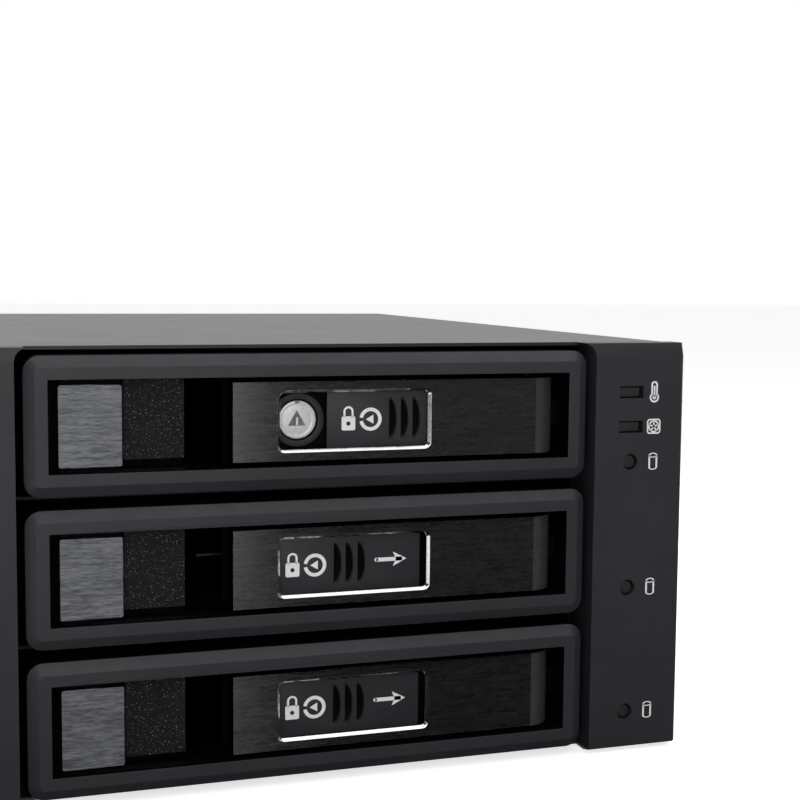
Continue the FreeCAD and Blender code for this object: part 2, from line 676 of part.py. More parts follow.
def pillar(side):
    """Moulded pillar beside the trays. Its tail plugs into the shell."""
    name = "Pillar" + side.capitalize()
    sign = side_sign(side)
    inner = "opening_left" if side == "left" else "opening_right"
    outer = f"{sign} * bezel_width / 2"
    body = new_body(name)
    face = front_sketch(body, name + "Face", "0")
    rectangle(face, outer, inner, "0", "cage_height")
    extrude(body, "Pad", face, "shell_setback - seat_clearance", reverse=True)

    tail_outer = f"{sign} * (side_inner - seat_clearance)"
    tail_low, tail_high = "sheet_gauge + seat_clearance", "roof_under - seat_clearance"
    tail = front_sketch(body, name + "Tail", "shell_setback - seat_clearance")
    base_edge = f"{sign} * (side_inner - 2 * seat_clearance - sheet_gauge)"
    outline(tail, [(base_edge, tail_low), (inner, tail_low), (inner, tail_high),
                   (f"{tail_outer} - ({sign}) * bend_radius", tail_high),
                   (tail_outer, f"{tail_high} - bend_radius"),
                   (tail_outer, "base_rise + seat_clearance"),
                   (base_edge, "base_rise + seat_clearance")])
    extrude(body, "Pad", tail, "spigot_depth + seat_clearance", reverse=True)

    web = front_sketch(body, name + "Web", "0")
    corner = f"{inner} - {sign} * opening_corner_radius"
    tip = f"{inner} - {sign} * opening_corner_radius * 0.7"
    drop = "cage_height - opening_corner_radius"
    steps = [(inner, drop), (inner, "cage_height"), (tip, "cage_height")]
    for turn in (70, 45, 22):
        steps.append((f"{corner} + {sign} * opening_corner_radius * cos({turn})",
                      f"{drop} + opening_corner_radius * sin({turn})"))
    outline(web, steps)
    extrude(body, "Pad", web, "shell_setback - seat_clearance", reverse=True)

    hollow = front_sketch(body, name + "Hollow", "wall_front - seat_clearance")
    inward = f"-({sign}) * pillar_wall"
    rectangle(hollow, f"{tail_outer} + {inward} - ({sign}) * sheet_gauge", f"{inner} - ({inward})",
              "sheet_gauge + pillar_wall", "cage_height - 2 * pillar_wall")
    extrude(body, "Pocket", hollow, "wall_front - seat_clearance - pillar_wall", reverse=True)
    if side == "right":
        lamp_holes(body)
        latch_windows(body)
    round_pillar(body, name, outer)
    node(body, f"pillar_{side}")


def lamp_holes(body):
    sketch = front_sketch(body, "LampHoles", "0")
    for drop in ("heat_lamp_drop", "fan_lamp_drop"):
        middle = f"cage_height - {drop}"
        rectangle(sketch, "lamp_x - status_lamp_width / 2", "lamp_x + status_lamp_width / 2",
                  f"{middle} - status_lamp_height / 2", f"{middle} + status_lamp_height / 2")
    for number in range(1, TRAY_COUNT + 1):
        circle(sketch, "lamp_x", drive_lamp_z(number), "drive_lamp_radius")
    extrude(body, "Pocket", sketch, "pillar_wall + overrun")


def latch_windows(body):
    """Window in the pillar's inner wall where each lever's hook catches."""
    sketch = sketch_on(body, "YZ_Plane", "LatchWindows", "opening_right - overrun")
    for number in range(1, TRAY_COUNT + 1):
        middle = tray_z(number)
        low = f"{middle} - hook_height / 2 - hook_clearance"
        high = f"{middle} + hook_height / 2 + hook_clearance"
        rectangle(sketch, "hinge_y - hook_clearance", "wall_front - seat_clearance + overrun", low, high)
    extrude(body, "Pocket", sketch, "pillar_wall + 1.5 * overrun", reverse=True)


def round_pillar(body, name, outer):
    """Slope the face at the top and bottom, and round the outer edge."""
    at_front = "0"
    for place in ("cage_height", "0"):
        def long_edge(edge, place=place):
            return runs_along(edge, "x") and lies_at(edge, "y", at_front) and lies_at(edge, "z", place)
        feature = dress(body, "Chamfer", long_edge, "pillar_bevel_depth", name + "Slope" + place[0])
        feature.ChamferType = "Two distances"
        feature.setExpression("Size2", bound("pillar_bevel_height"))
    dress(body, "Fillet", lambda edge: lies_at(edge, "x", outer) and edge.BoundBox.YMax < 5,
          "pillar_edge_radius", name + "Edge")


def drive_lamp_z(number):
    return f"cage_height - drive_lamp_drop - {number - 1} * drive_lamp_pitch"


def lamp_lenses():
    """Clear light pipes from the lamp board to the pillar's face."""
    seat = "pillar_wall"
    board = "wall_front - seat_clearance"
    for label, drop in (("heat_lamp_lens", "heat_lamp_drop"), ("fan_lamp_lens", "fan_lamp_drop")):
        name = label.replace("_", " ").title().replace(" ", "")
        middle = f"cage_height - {drop}"
        half_x = "status_lamp_width / 2 - lens_clearance"
        half_z = "status_lamp_height / 2 - lens_clearance"
        pipe = box(name + "Pipe", (f"lamp_x - ({half_x})", f"lamp_x + {half_x}"),
                   ("lens_recess", f"{board} - lamp_rise - lamp_gap"),
                   (f"{middle} - ({half_z})", f"{middle} + {half_z}"))
        wide_x = f"{half_x} + lens_flange"
        wide_z = f"{half_z} + lens_flange"
        flange = box(name + "Flange", (f"lamp_x - ({wide_x})", f"lamp_x + {wide_x}"),
                     (seat, f"{seat} + lens_step"), (f"{middle} - ({wide_z})", f"{middle} + {wide_z}"))
        node(joined(name, [pipe, flange]), label)
    for number in range(1, TRAY_COUNT + 1):
        name = f"DriveLens{number}"
        middle = drive_lamp_z(number)
        pipe = rod(name + "Pipe", "y", ("lamp_x", middle), "drive_lamp_radius - lens_clearance",
                   "lens_recess", f"{board} - lamp_rise - lamp_gap")
        wide = "(drive_lamp_radius + lens_flange)"
        flange = box(name + "Flange", (f"lamp_x - {wide}", f"lamp_x + {wide}"),
                     (seat, f"{seat} + lens_step"), (f"{middle} - {wide}", f"{middle} + {wide}"))
        node(joined(name, [pipe, flange]), f"drive_lamp_lens_{number}")


def lamp_board():
    """Narrow board behind the right pillar, with a lamp behind each lens and a plug."""
    front = "wall_front - seat_clearance"
    left = "tray_middle + wall_outer + seat_clearance"
    right = "side_inner - 2 * pillar_wall"
    pieces = [box("LampPlate", (left, right),
                  (front, f"{front} + lamp_board_thickness"),
                  (f"{drive_lamp_z(TRAY_COUNT)} - lamp_board_margin", "cage_height - lamp_board_margin"))]
    lamps = [f"cage_height - {drop}" for drop in ("heat_lamp_drop", "fan_lamp_drop")]
    lamps += [drive_lamp_z(number) for number in range(1, TRAY_COUNT + 1)]
    for index, middle in enumerate(lamps):
        pieces.append(box(f"Lamp{index}", ("lamp_x - lamp_length / 2", "lamp_x + lamp_length / 2"),
                          (f"{front} - lamp_rise", front),
                          (f"{middle} - lamp_length / 3", f"{middle} + lamp_length / 3")))
    plug_front = f"{front} + lamp_board_thickness"
    pieces.append(box("LampPlug", (f"{right} - lamp_rise - lamp_plug_width", f"{right} - lamp_rise"),
                      (plug_front, f"{plug_front} + lamp_plug_depth"),
                      ("fan_z - lamp_plug_height / 2", "fan_z + lamp_plug_height / 2")))
    node(joined("LampBoard", pieces), "lamp_board")


# ---- trays ----

def tray_bezel(number):
    """Moulded front of a tray: sloped rim, window, seats for cap and filter, hinge bores."""
    name = f"Bezel{number}"
    body = new_body(name)
    face = front_sketch(body, name + "Face", "tray_face_setback")
    rectangle(face, "tray_left", "tray_right", "-tray_half", "tray_half")
    extrude(body, "Pad", face, "tray_face_depth", reverse=True)
    dress(body, "Fillet", lambda edge: runs_along(edge, "y"), "tray_corner_radius", name + "Corners")
    rim = dress(body, "Chamfer", lambda edge: lies_at(edge, "y", "tray_face_setback"), "bevel_depth",
                name + "Rim")
    rim.ChamferType = "Two distances"
    rim.setExpression("Size2", bound("bevel_width"))

    window = front_sketch(body, name + "Window", "tray_face_setback")
    rectangle(window, "window_left", "window_right", "-window_half", "window_half")
    extrude(body, "Pocket", window, "tray_face_depth")

    reach = "(window_half + seat_bite)"
    seats = front_sketch(body, name + "CapSeat", "cap_back")
    rectangle(seats, "cap_left + seat_step", "cap_right - seat_step", f"-{reach}", reach)
    extrude(body, "Pad", seats, "tray_back - (cap_back)", reverse=True)
    behind = front_sketch(body, name + "FilterSeat", "filter_back")
    rectangle(behind, "window_left - seat_bite", "filter_right", f"-{reach}", reach)
    extrude(body, "Pad", behind, "tray_back - (filter_back)", reverse=True)
    sill = front_sketch(body, name + "Sill", "face_front + seat_step")
    rectangle(sill, "cap_right - cap_width / 2", "filter_right", f"-{reach}", "-window_half + sill_height")
    extrude(body, "Pad", sill, "filter_thickness", reverse=True)
    back = front_sketch(body, name + "BackWall", "tray_back - tray_back_wall")
    rectangle(back, "lever_left", "hinge_x - hinge_radius - back_vent_margin",
              f"-{reach}", reach)
    extrude(body, "Pad", back, "tray_back_wall", reverse=True)

    filter_vents = front_sketch(body, name + "FilterVents", "filter_back")
    for sign in "-+":
        x = f"(filter_left + filter_right) / 2 {sign} back_vent_pitch / 2"
        rectangle(filter_vents, f"{x} - back_vent_width / 2", f"{x} + back_vent_width / 2",
                  "-filter_drop + seat_bite", "window_half - back_vent_margin")
    extrude(body, "Pocket", filter_vents, "tray_back")
    count = int(value("(hinge_x - hinge_radius - 2 * back_vent_margin - lever_left) / back_vent_pitch"))
    x = "lever_left + back_vent_pitch / 2"
    vent = front_sketch(body, name + "Vent", "tray_back - 2 * tray_back_wall")
    rectangle(vent, f"{x} - back_vent_width / 2", f"{x} + back_vent_width / 2",
              "-window_half + back_vent_margin", "window_half - back_vent_margin")
    slot = extrude(body, "Pocket", vent, "3 * tray_back_wall")
    repeated(body, slot, "X_Axis", f"({count} - 1) * back_vent_pitch", count)

    bores = sketch_on(body, "XY_Plane", name + "PinBores", "-window_half - pin_reach")
    circle(bores, "hinge_x", "hinge_y", "pin_radius + pin_seat_clearance")
    extrude(body, "Pocket", bores, "2 * (window_half + pin_reach)", reverse=True)
    catch = sketch_on(body, "YZ_Plane", name + "Catch", "window_right - overrun")
    rectangle(catch, "hinge_y - hook_clearance", "tray_back + overrun", "-hook_height / 2 - hook_clearance",
              "hook_height / 2 + hook_clearance")
    extrude(body, "Pocket", catch, "tray_right - window_right + 2 * overrun", reverse=True)
    node(body, f"tray_bezel_{number}", z=tray_z(number))


def rail_window_start(place):
    """Windows spread evenly between the front and rear drive screws."""
    pitch = "drive_screw_spacing / rail_windows"
    return (f"rear_screw_y - drive_screw_spacing + ({place} + 0.5) * {pitch}"
            " - rail_window_length / 2")


def tray_carrier(number):
    """Open frame behind the bezel: a rail each side of the drive, straps under it."""
    name = f"Carrier{number}"
    low, high = "-floor_drop + floor_gauge", "rail_rise"
    pieces = []
    tools = []
    for side in ("left", "right"):
        pieces.append(box(name + "Rail" + side, span(side, "rail_inner", "rail_outer"),
                          ("tray_back", "rail_back"), (low, high)))
        pieces.append(box(name + "Tongue" + side, span(side, "rail_outer", "tongue_outer"),
                          ("drive_front", "rail_back"),
                          ("-tongue_height / 2", "tongue_height / 2")))
        through = span(side, "rail_inner - overrun", "rail_outer + overrun")
        for place in range(2):
            tools.append(rod(f"{name}Screw{side}{place}", "x",
                             (f"rear_screw_y - {place} * drive_screw_spacing",
                              "-floor_drop + floor_gauge + drive_screw_height"), "drive_screw_radius",
                             *through))
        for place in range(int(value("rail_windows"))):
            start = rail_window_start(place)
            tools.append(box(f"{name}Open{side}{place}", through,
                             (start, f"{start} + rail_window_length"),
                             ("rail_window_sill - floor_drop", "-tongue_height / 2 - rail_window_head")))
        relief = span(side, "rail_inner - overrun", "tongue_outer + overrun")
        tools.append(box(name + "Relief" + side, relief, ("tray_back - overrun", "drive_front"),
                         ("-hook_height / 2 - hook_clearance", "hook_height / 2 + hook_clearance")))
    straps = (("Front", "tray_back", "tray_back + strap_width"),
              ("Middle", "drive_front + drive_length / 2 - strap_width / 2",
               "drive_front + drive_length / 2 + strap_width / 2"),
              ("Back", "rail_back - strap_width", "rail_back"))
    for part, start, end in straps:
        pieces.append(box(name + part, ("tray_middle - rail_outer", "tray_middle + rail_outer"),
                          (start, end), ("-floor_drop", "-floor_drop + floor_gauge")))
    for side in ("left", "right"):
        pieces.append(box(name + "Edge" + side, span(side, "rail_inner - side_strap", "rail_outer"),
                          ("tray_back", "rail_back"), ("-floor_drop", "-floor_drop + floor_gauge")))
    node(cut(name, joined(name + "Frame", pieces), tools), f"tray_carrier_{number}", z=tray_z(number))


def brushed_cap(number):
    """Folded metal cap at the tray's free side."""
    name = f"Cap{number}"
    body = new_body(name)
    face = front_sketch(body, name + "Face", "face_front")
    rectangle(face, "cap_left", "cap_right", "-cap_height / 2", "cap_height / 2")
    extrude(body, "Pad", face, "cap_gauge", reverse=True)
    dress(body, "Fillet", lambda edge: runs_along(edge, "y"), "cap_gauge / 2", name + "Corners")
    node(body, f"brushed_cap_{number}", z=tray_z(number))


def air_filter(number):
    body = new_body(f"Filter{number}")
    face = front_sketch(body, f"Filter{number}Face", "tray_face_setback + filter_recess")
    rectangle(face, "filter_left", "filter_right", "-filter_drop", "window_half - sliding_clearance")
    extrude(body, "Pad", face, "filter_thickness", reverse=True)
    node(body, f"air_filter_{number}", z=tray_z(number))


def hinge_pin(number):
    body = new_body(f"Pin{number}")
    half = "window_half + pin_reach - running_clearance"
    end = sketch_on(body, "XY_Plane", f"Pin{number}End", f"-({half})")
    circle(end, "hinge_x", "hinge_y", "pin_radius")
    extrude(body, "Pad", end, f"2 * ({half})")
    node(body, f"lever_pin_{number}", z=tray_z(number))


# ---- lever, cover and lock ----

def lever_face(number):
    """Metal face of the lever, with the slot that the cover slides behind."""
    name = f"LeverFace{number}"
    body = new_body(name)
    face = front_sketch(body, name + "Outline", "face_front")
    rectangle(face, "lever_left", "hinge_x", "-lever_half", "lever_half")
    extrude(body, "Pad", face, "lever_gauge", reverse=True)
    slot = front_sketch(body, name + "Slot", "face_front")
    rectangle(slot, "slot_left", "slot_right", "-slot_height / 2", "slot_height / 2")
    extrude(body, "Pocket", slot, "lever_gauge")

    def slot_corner(edge):
        inside = value("slot_left") - 0.1 < edge.BoundBox.XMin < value("slot_right") + 0.1
        return runs_along(edge, "y") and inside
    dress(body, "Fillet", slot_corner, "slot_radius", name + "SlotCorners")

    def slot_rim(edge):
        bounds = edge.BoundBox
        inside = bounds.XMin > value("lever_left") + 1 and bounds.XMax < value("hinge_x") - 1
        return lies_at(edge, "y", "face_front") and inside and abs(bounds.ZMin) < value("lever_half") - 1
    dress(body, "Chamfer", slot_rim, "slot_chamfer", name + "BrightEdge")
    node(body, f"lever_face_{number}", z=tray_z(number))


def lever_body(number):
    """Moulding behind the lever's face: cover channel, lock boss, round hinge end and hook."""
    name = f"LeverBody{number}"
    half = "lever_half - lever_body_inset"
    block = box(name + "Block", ("lever_left + lever_body_inset", "hinge_x"), ("lever_skin", "lever_back"),
                (f"-({half})", half))
    barrel = rod(name + "Barrel", "z", ("hinge_x", "hinge_y"), "hinge_radius", "-lever_half", "lever_half")
    boss = rod(name + "Boss", "y", ("lock_x", "0"), "lock_radius + lock_boss", "lever_skin",
               "lock_back + running_clearance + lock_floor")
    hook_z = ("-hook_height / 2", "hook_height / 2")
    hook_y = ("lever_back - hook_thickness / 2", "lever_back + hook_thickness / 2")
    arm = box(name + "Arm", ("hinge_x", "hinge_x + hook_reach"), hook_y, hook_z)
    tooth = box(name + "Tooth", ("hinge_x + hook_reach - hook_tooth", "hinge_x + hook_reach"),
                ("lever_back - hook_rise", "lever_back + hook_thickness / 2"), hook_z)
    solid = joined(name + "Solid", [block, barrel, boss, arm, tooth])
    beyond = ("-lever_half - overrun", "lever_half + overrun")
    trim = box(name + "Trim", ("lever_left - overrun", "hinge_x"), ("face_front - overrun", "lever_skin"),
               beyond)
    channel = box(name + "Channel", ("cover_left - sliding_clearance",
                                     "cover_left + cover_length + cover_travel + sliding_clearance"),
                  ("face_front", "channel_back"),
                  ("-cover_half - sliding_clearance", "cover_half + sliding_clearance"))
    seat = rod(name + "LockSeat", "y", ("lock_x", "0"), "lock_radius + running_clearance",
               "face_front", "lock_back + running_clearance")
    pin = rod(name + "PinBore", "z", ("hinge_x", "hinge_y"), "pin_radius + running_clearance",
              *beyond)
    tools = [trim, channel, seat, pin]
    start = "lock_x + lock_radius + lock_boss + lever_wall"
    end = "hinge_x - hinge_radius - lever_wall"
    for cell in range(LEVER_CELLS):
        low = f"{start} + {cell} * ({end} - ({start})) / {LEVER_CELLS}"
        high = f"{start} + {cell + 1} * ({end} - ({start})) / {LEVER_CELLS} - lever_wall"
        tools.append(box(f"{name}Cell{cell}", (low, high),
                         ("channel_back + lever_wall", "lever_back + overrun"),
                         (f"-({half}) + lever_wall", f"{half} - lever_wall")))
    node(cut(name, solid, tools), f"lever_body_{number}", z=tray_z(number))


def slide_cover(number):
    """Cover that slides in the lever. At tray 1 it stands to the right and shows the lock."""
    name = f"Cover{number}"
    rest = "cover_travel" if number == 1 else "0"
    left = f"cover_left + {rest}"
    plate = box(name + "Plate", (left, f"{left} + cover_length"), ("cover_front", "cover_back"),
                ("-cover_half", "cover_half"))
    tools = []
    for groove in range(GRIP_GROOVES):
        start = f"{left} + grip_offset + {groove} * grip_pitch"
        depth = ("cover_front - overrun", "cover_front + grip_depth")
        keep = doc.addObject("Part::Common", f"{name}Groove{groove}")
        keep.Base = rod(f"{name}Arc{groove}", "y", (f"{start} + grip_width - grip_radius", "0"),
                        "grip_radius", *depth)
        keep.Tool = box(f"{name}Band{groove}", (start, f"{start} + grip_pitch"), depth,
                        ("-grip_height / 2", "grip_height / 2"))
        tools.append(keep)
    node(cut(name, plate, tools), f"slide_cover_{number}", z=tray_z(number))


def lock_core(number):
    """Round lock core with a plain three-sided key recess and a notch at the top."""
    name = f"Lock{number}"
    body = new_body(name)
    face = front_sketch(body, name + "Face", "lock_front")
    circle(face, "0", "0", "lock_radius")
    extrude(body, "Pad", face, "lock_length", reverse=True)
    dress(body, "Chamfer", lambda edge: lies_at(edge, "y", "lock_front"), "lock_rim", name + "Rim")
    key = front_sketch(body, name + "Key", "lock_front")
    foot = "-key_side / (2 * sqrt(3))"
    outline(key, [("-key_side / 2", foot), ("key_side / 2", foot), ("0", "key_side / sqrt(3)")])
    extrude(body, "Pocket", key, "key_depth")
    notch = front_sketch(body, name + "Notch", "lock_front")
    rectangle(notch, "-lock_rim", "lock_rim", "lock_radius - 2 * lock_rim", "lock_radius + overrun")
    extrude(body, "Pocket", notch, "key_depth / 2")
    node(body, f"lock_core_{number}", z=tray_z(number), x="lock_x")


# ---- board, sockets and ports ----

def backplane_board():
    """Board at the back of the trays, with air windows between the sockets."""
    half = "wall_outer - sheet_gauge + wall_flange"
    board = box("BoardPlate", (f"tray_middle - ({half})", f"tray_middle + {half}"),
                ("board_front", "board_back"), ("board_margin", "cage_height - board_margin"))
    through = ("board_front - overrun", "board_back + overrun")
    tools = []
    for number in range(1, TRAY_COUNT + 1):
        low = f"{tray_z(number)} - socket_drop + socket_height / 2 + board_air_gap"
        for side in ("left", "right"):
            tools.append(box(f"BoardAir{side}{number}",
                             span(side, "board_rib / 2", "rail_inner - board_frame"), through,
                             (low, f"{low} + board_air_height")))
    for index, (x, z) in enumerate(board_screws("left") + board_screws("right")):
        tools.append(rod(f"BoardHole{index}", "y", (x, z), "screw_radius + running_clearance", *through))
    node(cut("Backplane", board, tools), "backplane_board")


def board_screws(side):
    """X and Z of the screws that hold the board to one inner wall's flange."""
    sign = "-" if side == "left" else "+"
    x = f"tray_middle {sign} (wall_outer + wall_flange / 2)"
    inset = "(board_margin + board_screw_inset)"
    return [(x, inset), (x, f"cage_height - {inset}")]


def drive_socket(number):
    """Drive socket with a short data slot and a long power slot."""
    name = f"Socket{number}"
    middle = "tray_middle + socket_offset"
    z = f"{tray_z(number)} - socket_drop"
    block = box(name + "Block", (f"{middle} - socket_width / 2", f"{middle} + socket_width / 2"),
                ("drive_back", "board_front"), (f"{z} - socket_height / 2", f"{z} + socket_height / 2"))
    slots = [box(f"{name}{kind.capitalize()}Slot",
                 (f"{middle} + {kind}_slot_left", f"{middle} + {kind}_slot_right"),
                 ("drive_back - overrun", "drive_back + socket_slot_depth"),
                 (f"{z} - socket_slot_height / 2", f"{z} + socket_slot_height / 2"))
             for kind in ("data", "power")]
    node(cut(name, block, slots), f"drive_socket_{number}")


def data_port(number):
    """Cable socket behind each drive socket, beside the fan."""
    name = f"Port{number}"
    left = "tray_middle + fan_size / 2 + rear_window_margin"
    z = tray_z(number)
    block = box(name + "Block", (left, f"{left} + port_width"), ("board_back", "board_back + port_depth"),
                (f"{z} - port_height / 2", f"{z} + port_height / 2"))
    slot = box(name + "Slot", (f"{left} + plug_wall", f"{left} + port_width - plug_wall"),
               ("board_back + plug_floor", "board_back + port_depth + overrun"),
               (f"{z} - port_height / 2 + plug_wall", f"{z} + port_height / 2 - plug_wall"))
    node(cut(name, block, [slot]), f"data_port_{number}")


def power_port(label, z):
    """Four-pole power plug on the board's back."""
    name = label.title().replace("_", "")
    right = "tray_middle - fan_size / 2 - rear_window_margin"
    left = f"{right} - power_width"
    block = box(name + "Block", (left, right), ("board_back", "board_back + power_depth"),
                (f"{z} - power_height / 2", f"{z} + power_height / 2"))
    well = box(name + "Well", (f"{left} + plug_wall", f"{right} - plug_wall"),
               ("board_back + plug_floor", "board_back + power_depth + overrun"),
               (f"{z} - power_height / 2 + plug_wall", f"{z} + power_height / 2 - plug_wall"))
    pieces = [cut(name + "Shell", block, [well])]
    middle = f"({left} + {right}) / 2"
    half = "pole_width / 2"
    for pole in range(POWER_POLES):
        height = f"{z} + {pole - (POWER_POLES - 1) / 2} * pole_pitch"
        pieces.append(box(f"{name}Pole{pole}", (f"{middle} - {half}", f"{middle} + {half}"),
                          ("board_back + plug_floor", "board_back + power_depth - plug_wall"),
                          (f"{height} - {half}", f"{height} + {half}")))
    node(joined(name, pieces), label)


# ---- fan ----

def fan_corners():
    """X and Z of the four fan screws."""
    reach = "fan_hole_spacing / 2"
    return [(f"tray_middle {a} {reach}", f"fan_z {b} {reach}") for a in "-+" for b in "-+"]


def fan_frame():
    """Square fan housing with its round duct, struts and the hub that carries the rotor."""
    body = new_body("FanFrame")
    face = front_sketch(body, "FanSquare", "fan_front")
    half = "fan_size / 2"
    rectangle(face, f"-{half}", half, f"-{half}", half)
    extrude(body, "Pad", face, "fan_thickness", reverse=True)
    dress(body, "Fillet", lambda edge: runs_along(edge, "y"), "fan_corner_radius", "FanCorners")
    duct = front_sketch(body, "FanDuct", "fan_front")
    circle(duct, "0", "0", "fan_bore_radius")
    extrude(body, "Pocket", duct, "fan_thickness")
    holes = front_sketch(body, "FanHoles", "fan_front")
    for x in ("-fan_hole_spacing / 2", "fan_hole_spacing / 2"):
        for z in ("-fan_hole_spacing / 2", "fan_hole_spacing / 2"):
            circle(holes, x, z, "screw_radius + running_clearance")
    extrude(body, "Pocket", holes, "fan_thickness")
    strut_front = "fan_front + fan_thickness - fan_hub_base"
    struts = front_sketch(body, "FanStrutAcross", strut_front)
    rectangle(struts, "-fan_bore_radius - overrun", "fan_bore_radius + overrun",
              "-fan_strut_width / 2", "fan_strut_width / 2")
    extrude(body, "Pad", struts, "fan_hub_base", reverse=True)
    upright = front_sketch(body, "FanStrutUpright", strut_front)
    rectangle(upright, "-fan_strut_width / 2", "fan_strut_width / 2",
              "-fan_bore_radius - overrun", "fan_bore_radius + overrun")
    extrude(body, "Pad", upright, "fan_hub_base", reverse=True)
    hub = front_sketch(body, "FanHub", strut_front)
    circle(hub, "0", "0", "fan_hub_radius")
    extrude(body, "Pad", hub, "fan_hub_base", reverse=True)
    shaft = front_sketch(body, "FanShaft", "fan_front + fan_thickness / 3")
    circle(shaft, "0", "0", "fan_shaft_radius")
    extrude(body, "Pad", shaft, "fan_thickness * 2 / 3 - fan_hub_base / 2", reverse=True)
    node(body, "fan_frame", z="fan_z", x="tray_middle")


def fan_rotor():
    """Round hub with twisted blades, turning on the frame's shaft."""
    body = new_body("FanRotor")
    front = "fan_front + fan_end_gap"
    length = "fan_thickness - fan_hub_base - 2 * fan_end_gap"
    hub = front_sketch(body, "RotorHub", front)
    circle(hub, "0", "0", "fan_hub_radius")
    extrude(body, "Pad", hub, length, reverse=True)
    dress(body, "Chamfer", lambda edge: lies_at(edge, "y", front), "fan_end_gap * 2", "RotorNose")
    middle = f"{front} + ({length}) / 2"
    sections = []
    for end, reach in (("root", "fan_hub_radius * 0.8"), ("tip", "fan_bore_radius")):
        section = sketch_on(body, "YZ_Plane", "Blade" + end.capitalize(), reach)
        chord, pitch = f"blade_{end}_chord / 2", f"blade_{end}_pitch"
        corners = []
        for along, across in ((-1, -1), (1, -1), (1, 1), (-1, 1)):
            y = f"{middle} + {along} * {chord} * cos({pitch}) - {across} * blade_gauge / 2 * sin({pitch})"
            z = f"{along} * {chord} * sin({pitch}) + {across} * blade_gauge / 2 * cos({pitch})"
            corners.append((y, z))
        outline(section, corners)
        sections.append(section)
    blade = body.newObject("PartDesign::AdditiveLoft", "Blade")
    blade.Profile = sections[0]
    blade.Sections = [sections[1]]
    blade.Ruled = True
    ring = body.newObject("PartDesign::PolarPattern", "BladeRing")
    ring.Originals = [blade]
    axis = next(part for part in body.Origin.OriginFeatures if part.Role == "Y_Axis")
    ring.Axis = (axis, [""])
    ring.Angle = 360
    ring.Occurrences = FAN_BLADES
    body.Tip = ring
    trim = front_sketch(body, "BladeTips", front)
    circle(trim, "0", "0", "fan_bore_radius - fan_tip_gap")
    circle(trim, "0", "0", "fan_bore_radius * 1.3")
    extrude(body, "Pocket", trim, "fan_thickness")
    bore = front_sketch(body, "RotorBore", "fan_front + fan_thickness / 3 - running_clearance")
    circle(bore, "0", "0", "fan_shaft_radius + running_clearance")
    extrude(body, "Pocket", bore, "fan_thickness")
    node(body, "fan_rotor", z="fan_z", x="tray_middle")


def fan_guard():
    """Flat finger guard behind the panel: rings on crossed arms that end in eyes."""
    body = new_body("FanGuard")
    rings = front_sketch(body, "GuardRings", "rear_panel_back + guard_gauge")
    for ring in range(int(value("fan_bore_radius / guard_pitch"))):
        outside = f"fan_bore_radius + guard_width / 2 - {ring} * guard_pitch"
        circle(rings, "0", "0", outside)
        circle(rings, "0", "0", f"{outside} - guard_width")
    extrude(body, "Pad", rings, "guard_gauge", reverse=True)
    reach = "fan_hole_spacing / 2"
    arms = front_sketch(body, "GuardArms", "rear_panel_back")
    half = "guard_width * 0.7"
    outline(arms, [(f"-{reach}", f"-{reach} + {half}"), (f"-{reach} + {half}", f"-{reach}"),
                   (reach, f"{reach} - {half}"), (f"{reach} - {half}", reach)])
    extrude(body, "Pad", arms, "guard_gauge", reverse=True)
    across = front_sketch(body, "GuardArmsAcross", "rear_panel_back")
    outline(across, [(f"-{reach} + {half}", reach), (f"-{reach}", f"{reach} - {half}"),
                     (f"{reach} - {half}", f"-{reach}"), (reach, f"-{reach} + {half}")])
    extrude(body, "Pad", across, "guard_gauge", reverse=True)
    corners = [(f"{a}{reach}", f"{b}{reach}") for a in ("", "-") for b in ("", "-")]
    eyes = front_sketch(body, "GuardEyes", "rear_panel_back")
    for x, z in corners:
        circle(eyes, x, z, "screw_head_radius")
    extrude(body, "Pad", eyes, "guard_gauge", reverse=True)
    holes = front_sketch(body, "GuardHoles", "rear_panel_back")
    for x, z in corners:
        circle(holes, x, z, "screw_radius + screw_clearance")
    extrude(body, "Pocket", holes, "guard_gauge")
    node(body, "fan_guard", z="fan_z", x="tray_middle")


def screw(name, direction, centre, seat, length, outward):
    """Head and shank of a screw. The head lies on the seat, on the outward side."""
    if outward > 0:
        head_span = (seat, f"{seat} + screw_head_height")
        shank_span = (f"{seat} - ({length})", seat)
    else:
        head_span = (f"{seat} - screw_head_height", seat)
        shank_span = (seat, f"{seat} + {length}")
    head = rod(name + "Head", direction, centre, "screw_head_radius", *head_span)
    shank = rod(name + "Shank", direction, centre, "screw_radius", *shank_span)
    return joined(name, [head, shank])


def screws():
    fan = [screw(f"FanScrew{index}", "y", place, "rear_panel_back + guard_gauge", "fan_screw_length", 1)
           for index, place in enumerate(fan_corners())]
    node(compound("FanScrews", fan), "fan_screws")
    board = [screw(f"BoardScrew{index}", "y", place, "board_back", "board_gauge + 2 * sheet_gauge", 1)
             for index, place in enumerate(board_screws("left") + board_screws("right"))]
    node(compound("BoardScrews", board), "backplane_screws")
    case = []
    for index, height in enumerate(case_screw_heights()):
        for side in (-1, 1):
            flush = "body_width / 2"
            ends = (f"{side} * {flush}", f"{side} * ({flush} - case_screw_length)")
            low, high = ends if side < 0 else ends[::-1]
            case.append(rod(f"CaseScrew{index}{side + 1}", "x", (case_screw_y(), height),
                            "screw_radius", low, high))
    node(compound("CaseScrews", case), "case_screws")


def compound(name, pieces):
    """Several separate, alike pieces in one node."""
    group = doc.addObject("Part::Compound", name)
    group.Links = pieces
    return group


# ---- hand-over ----

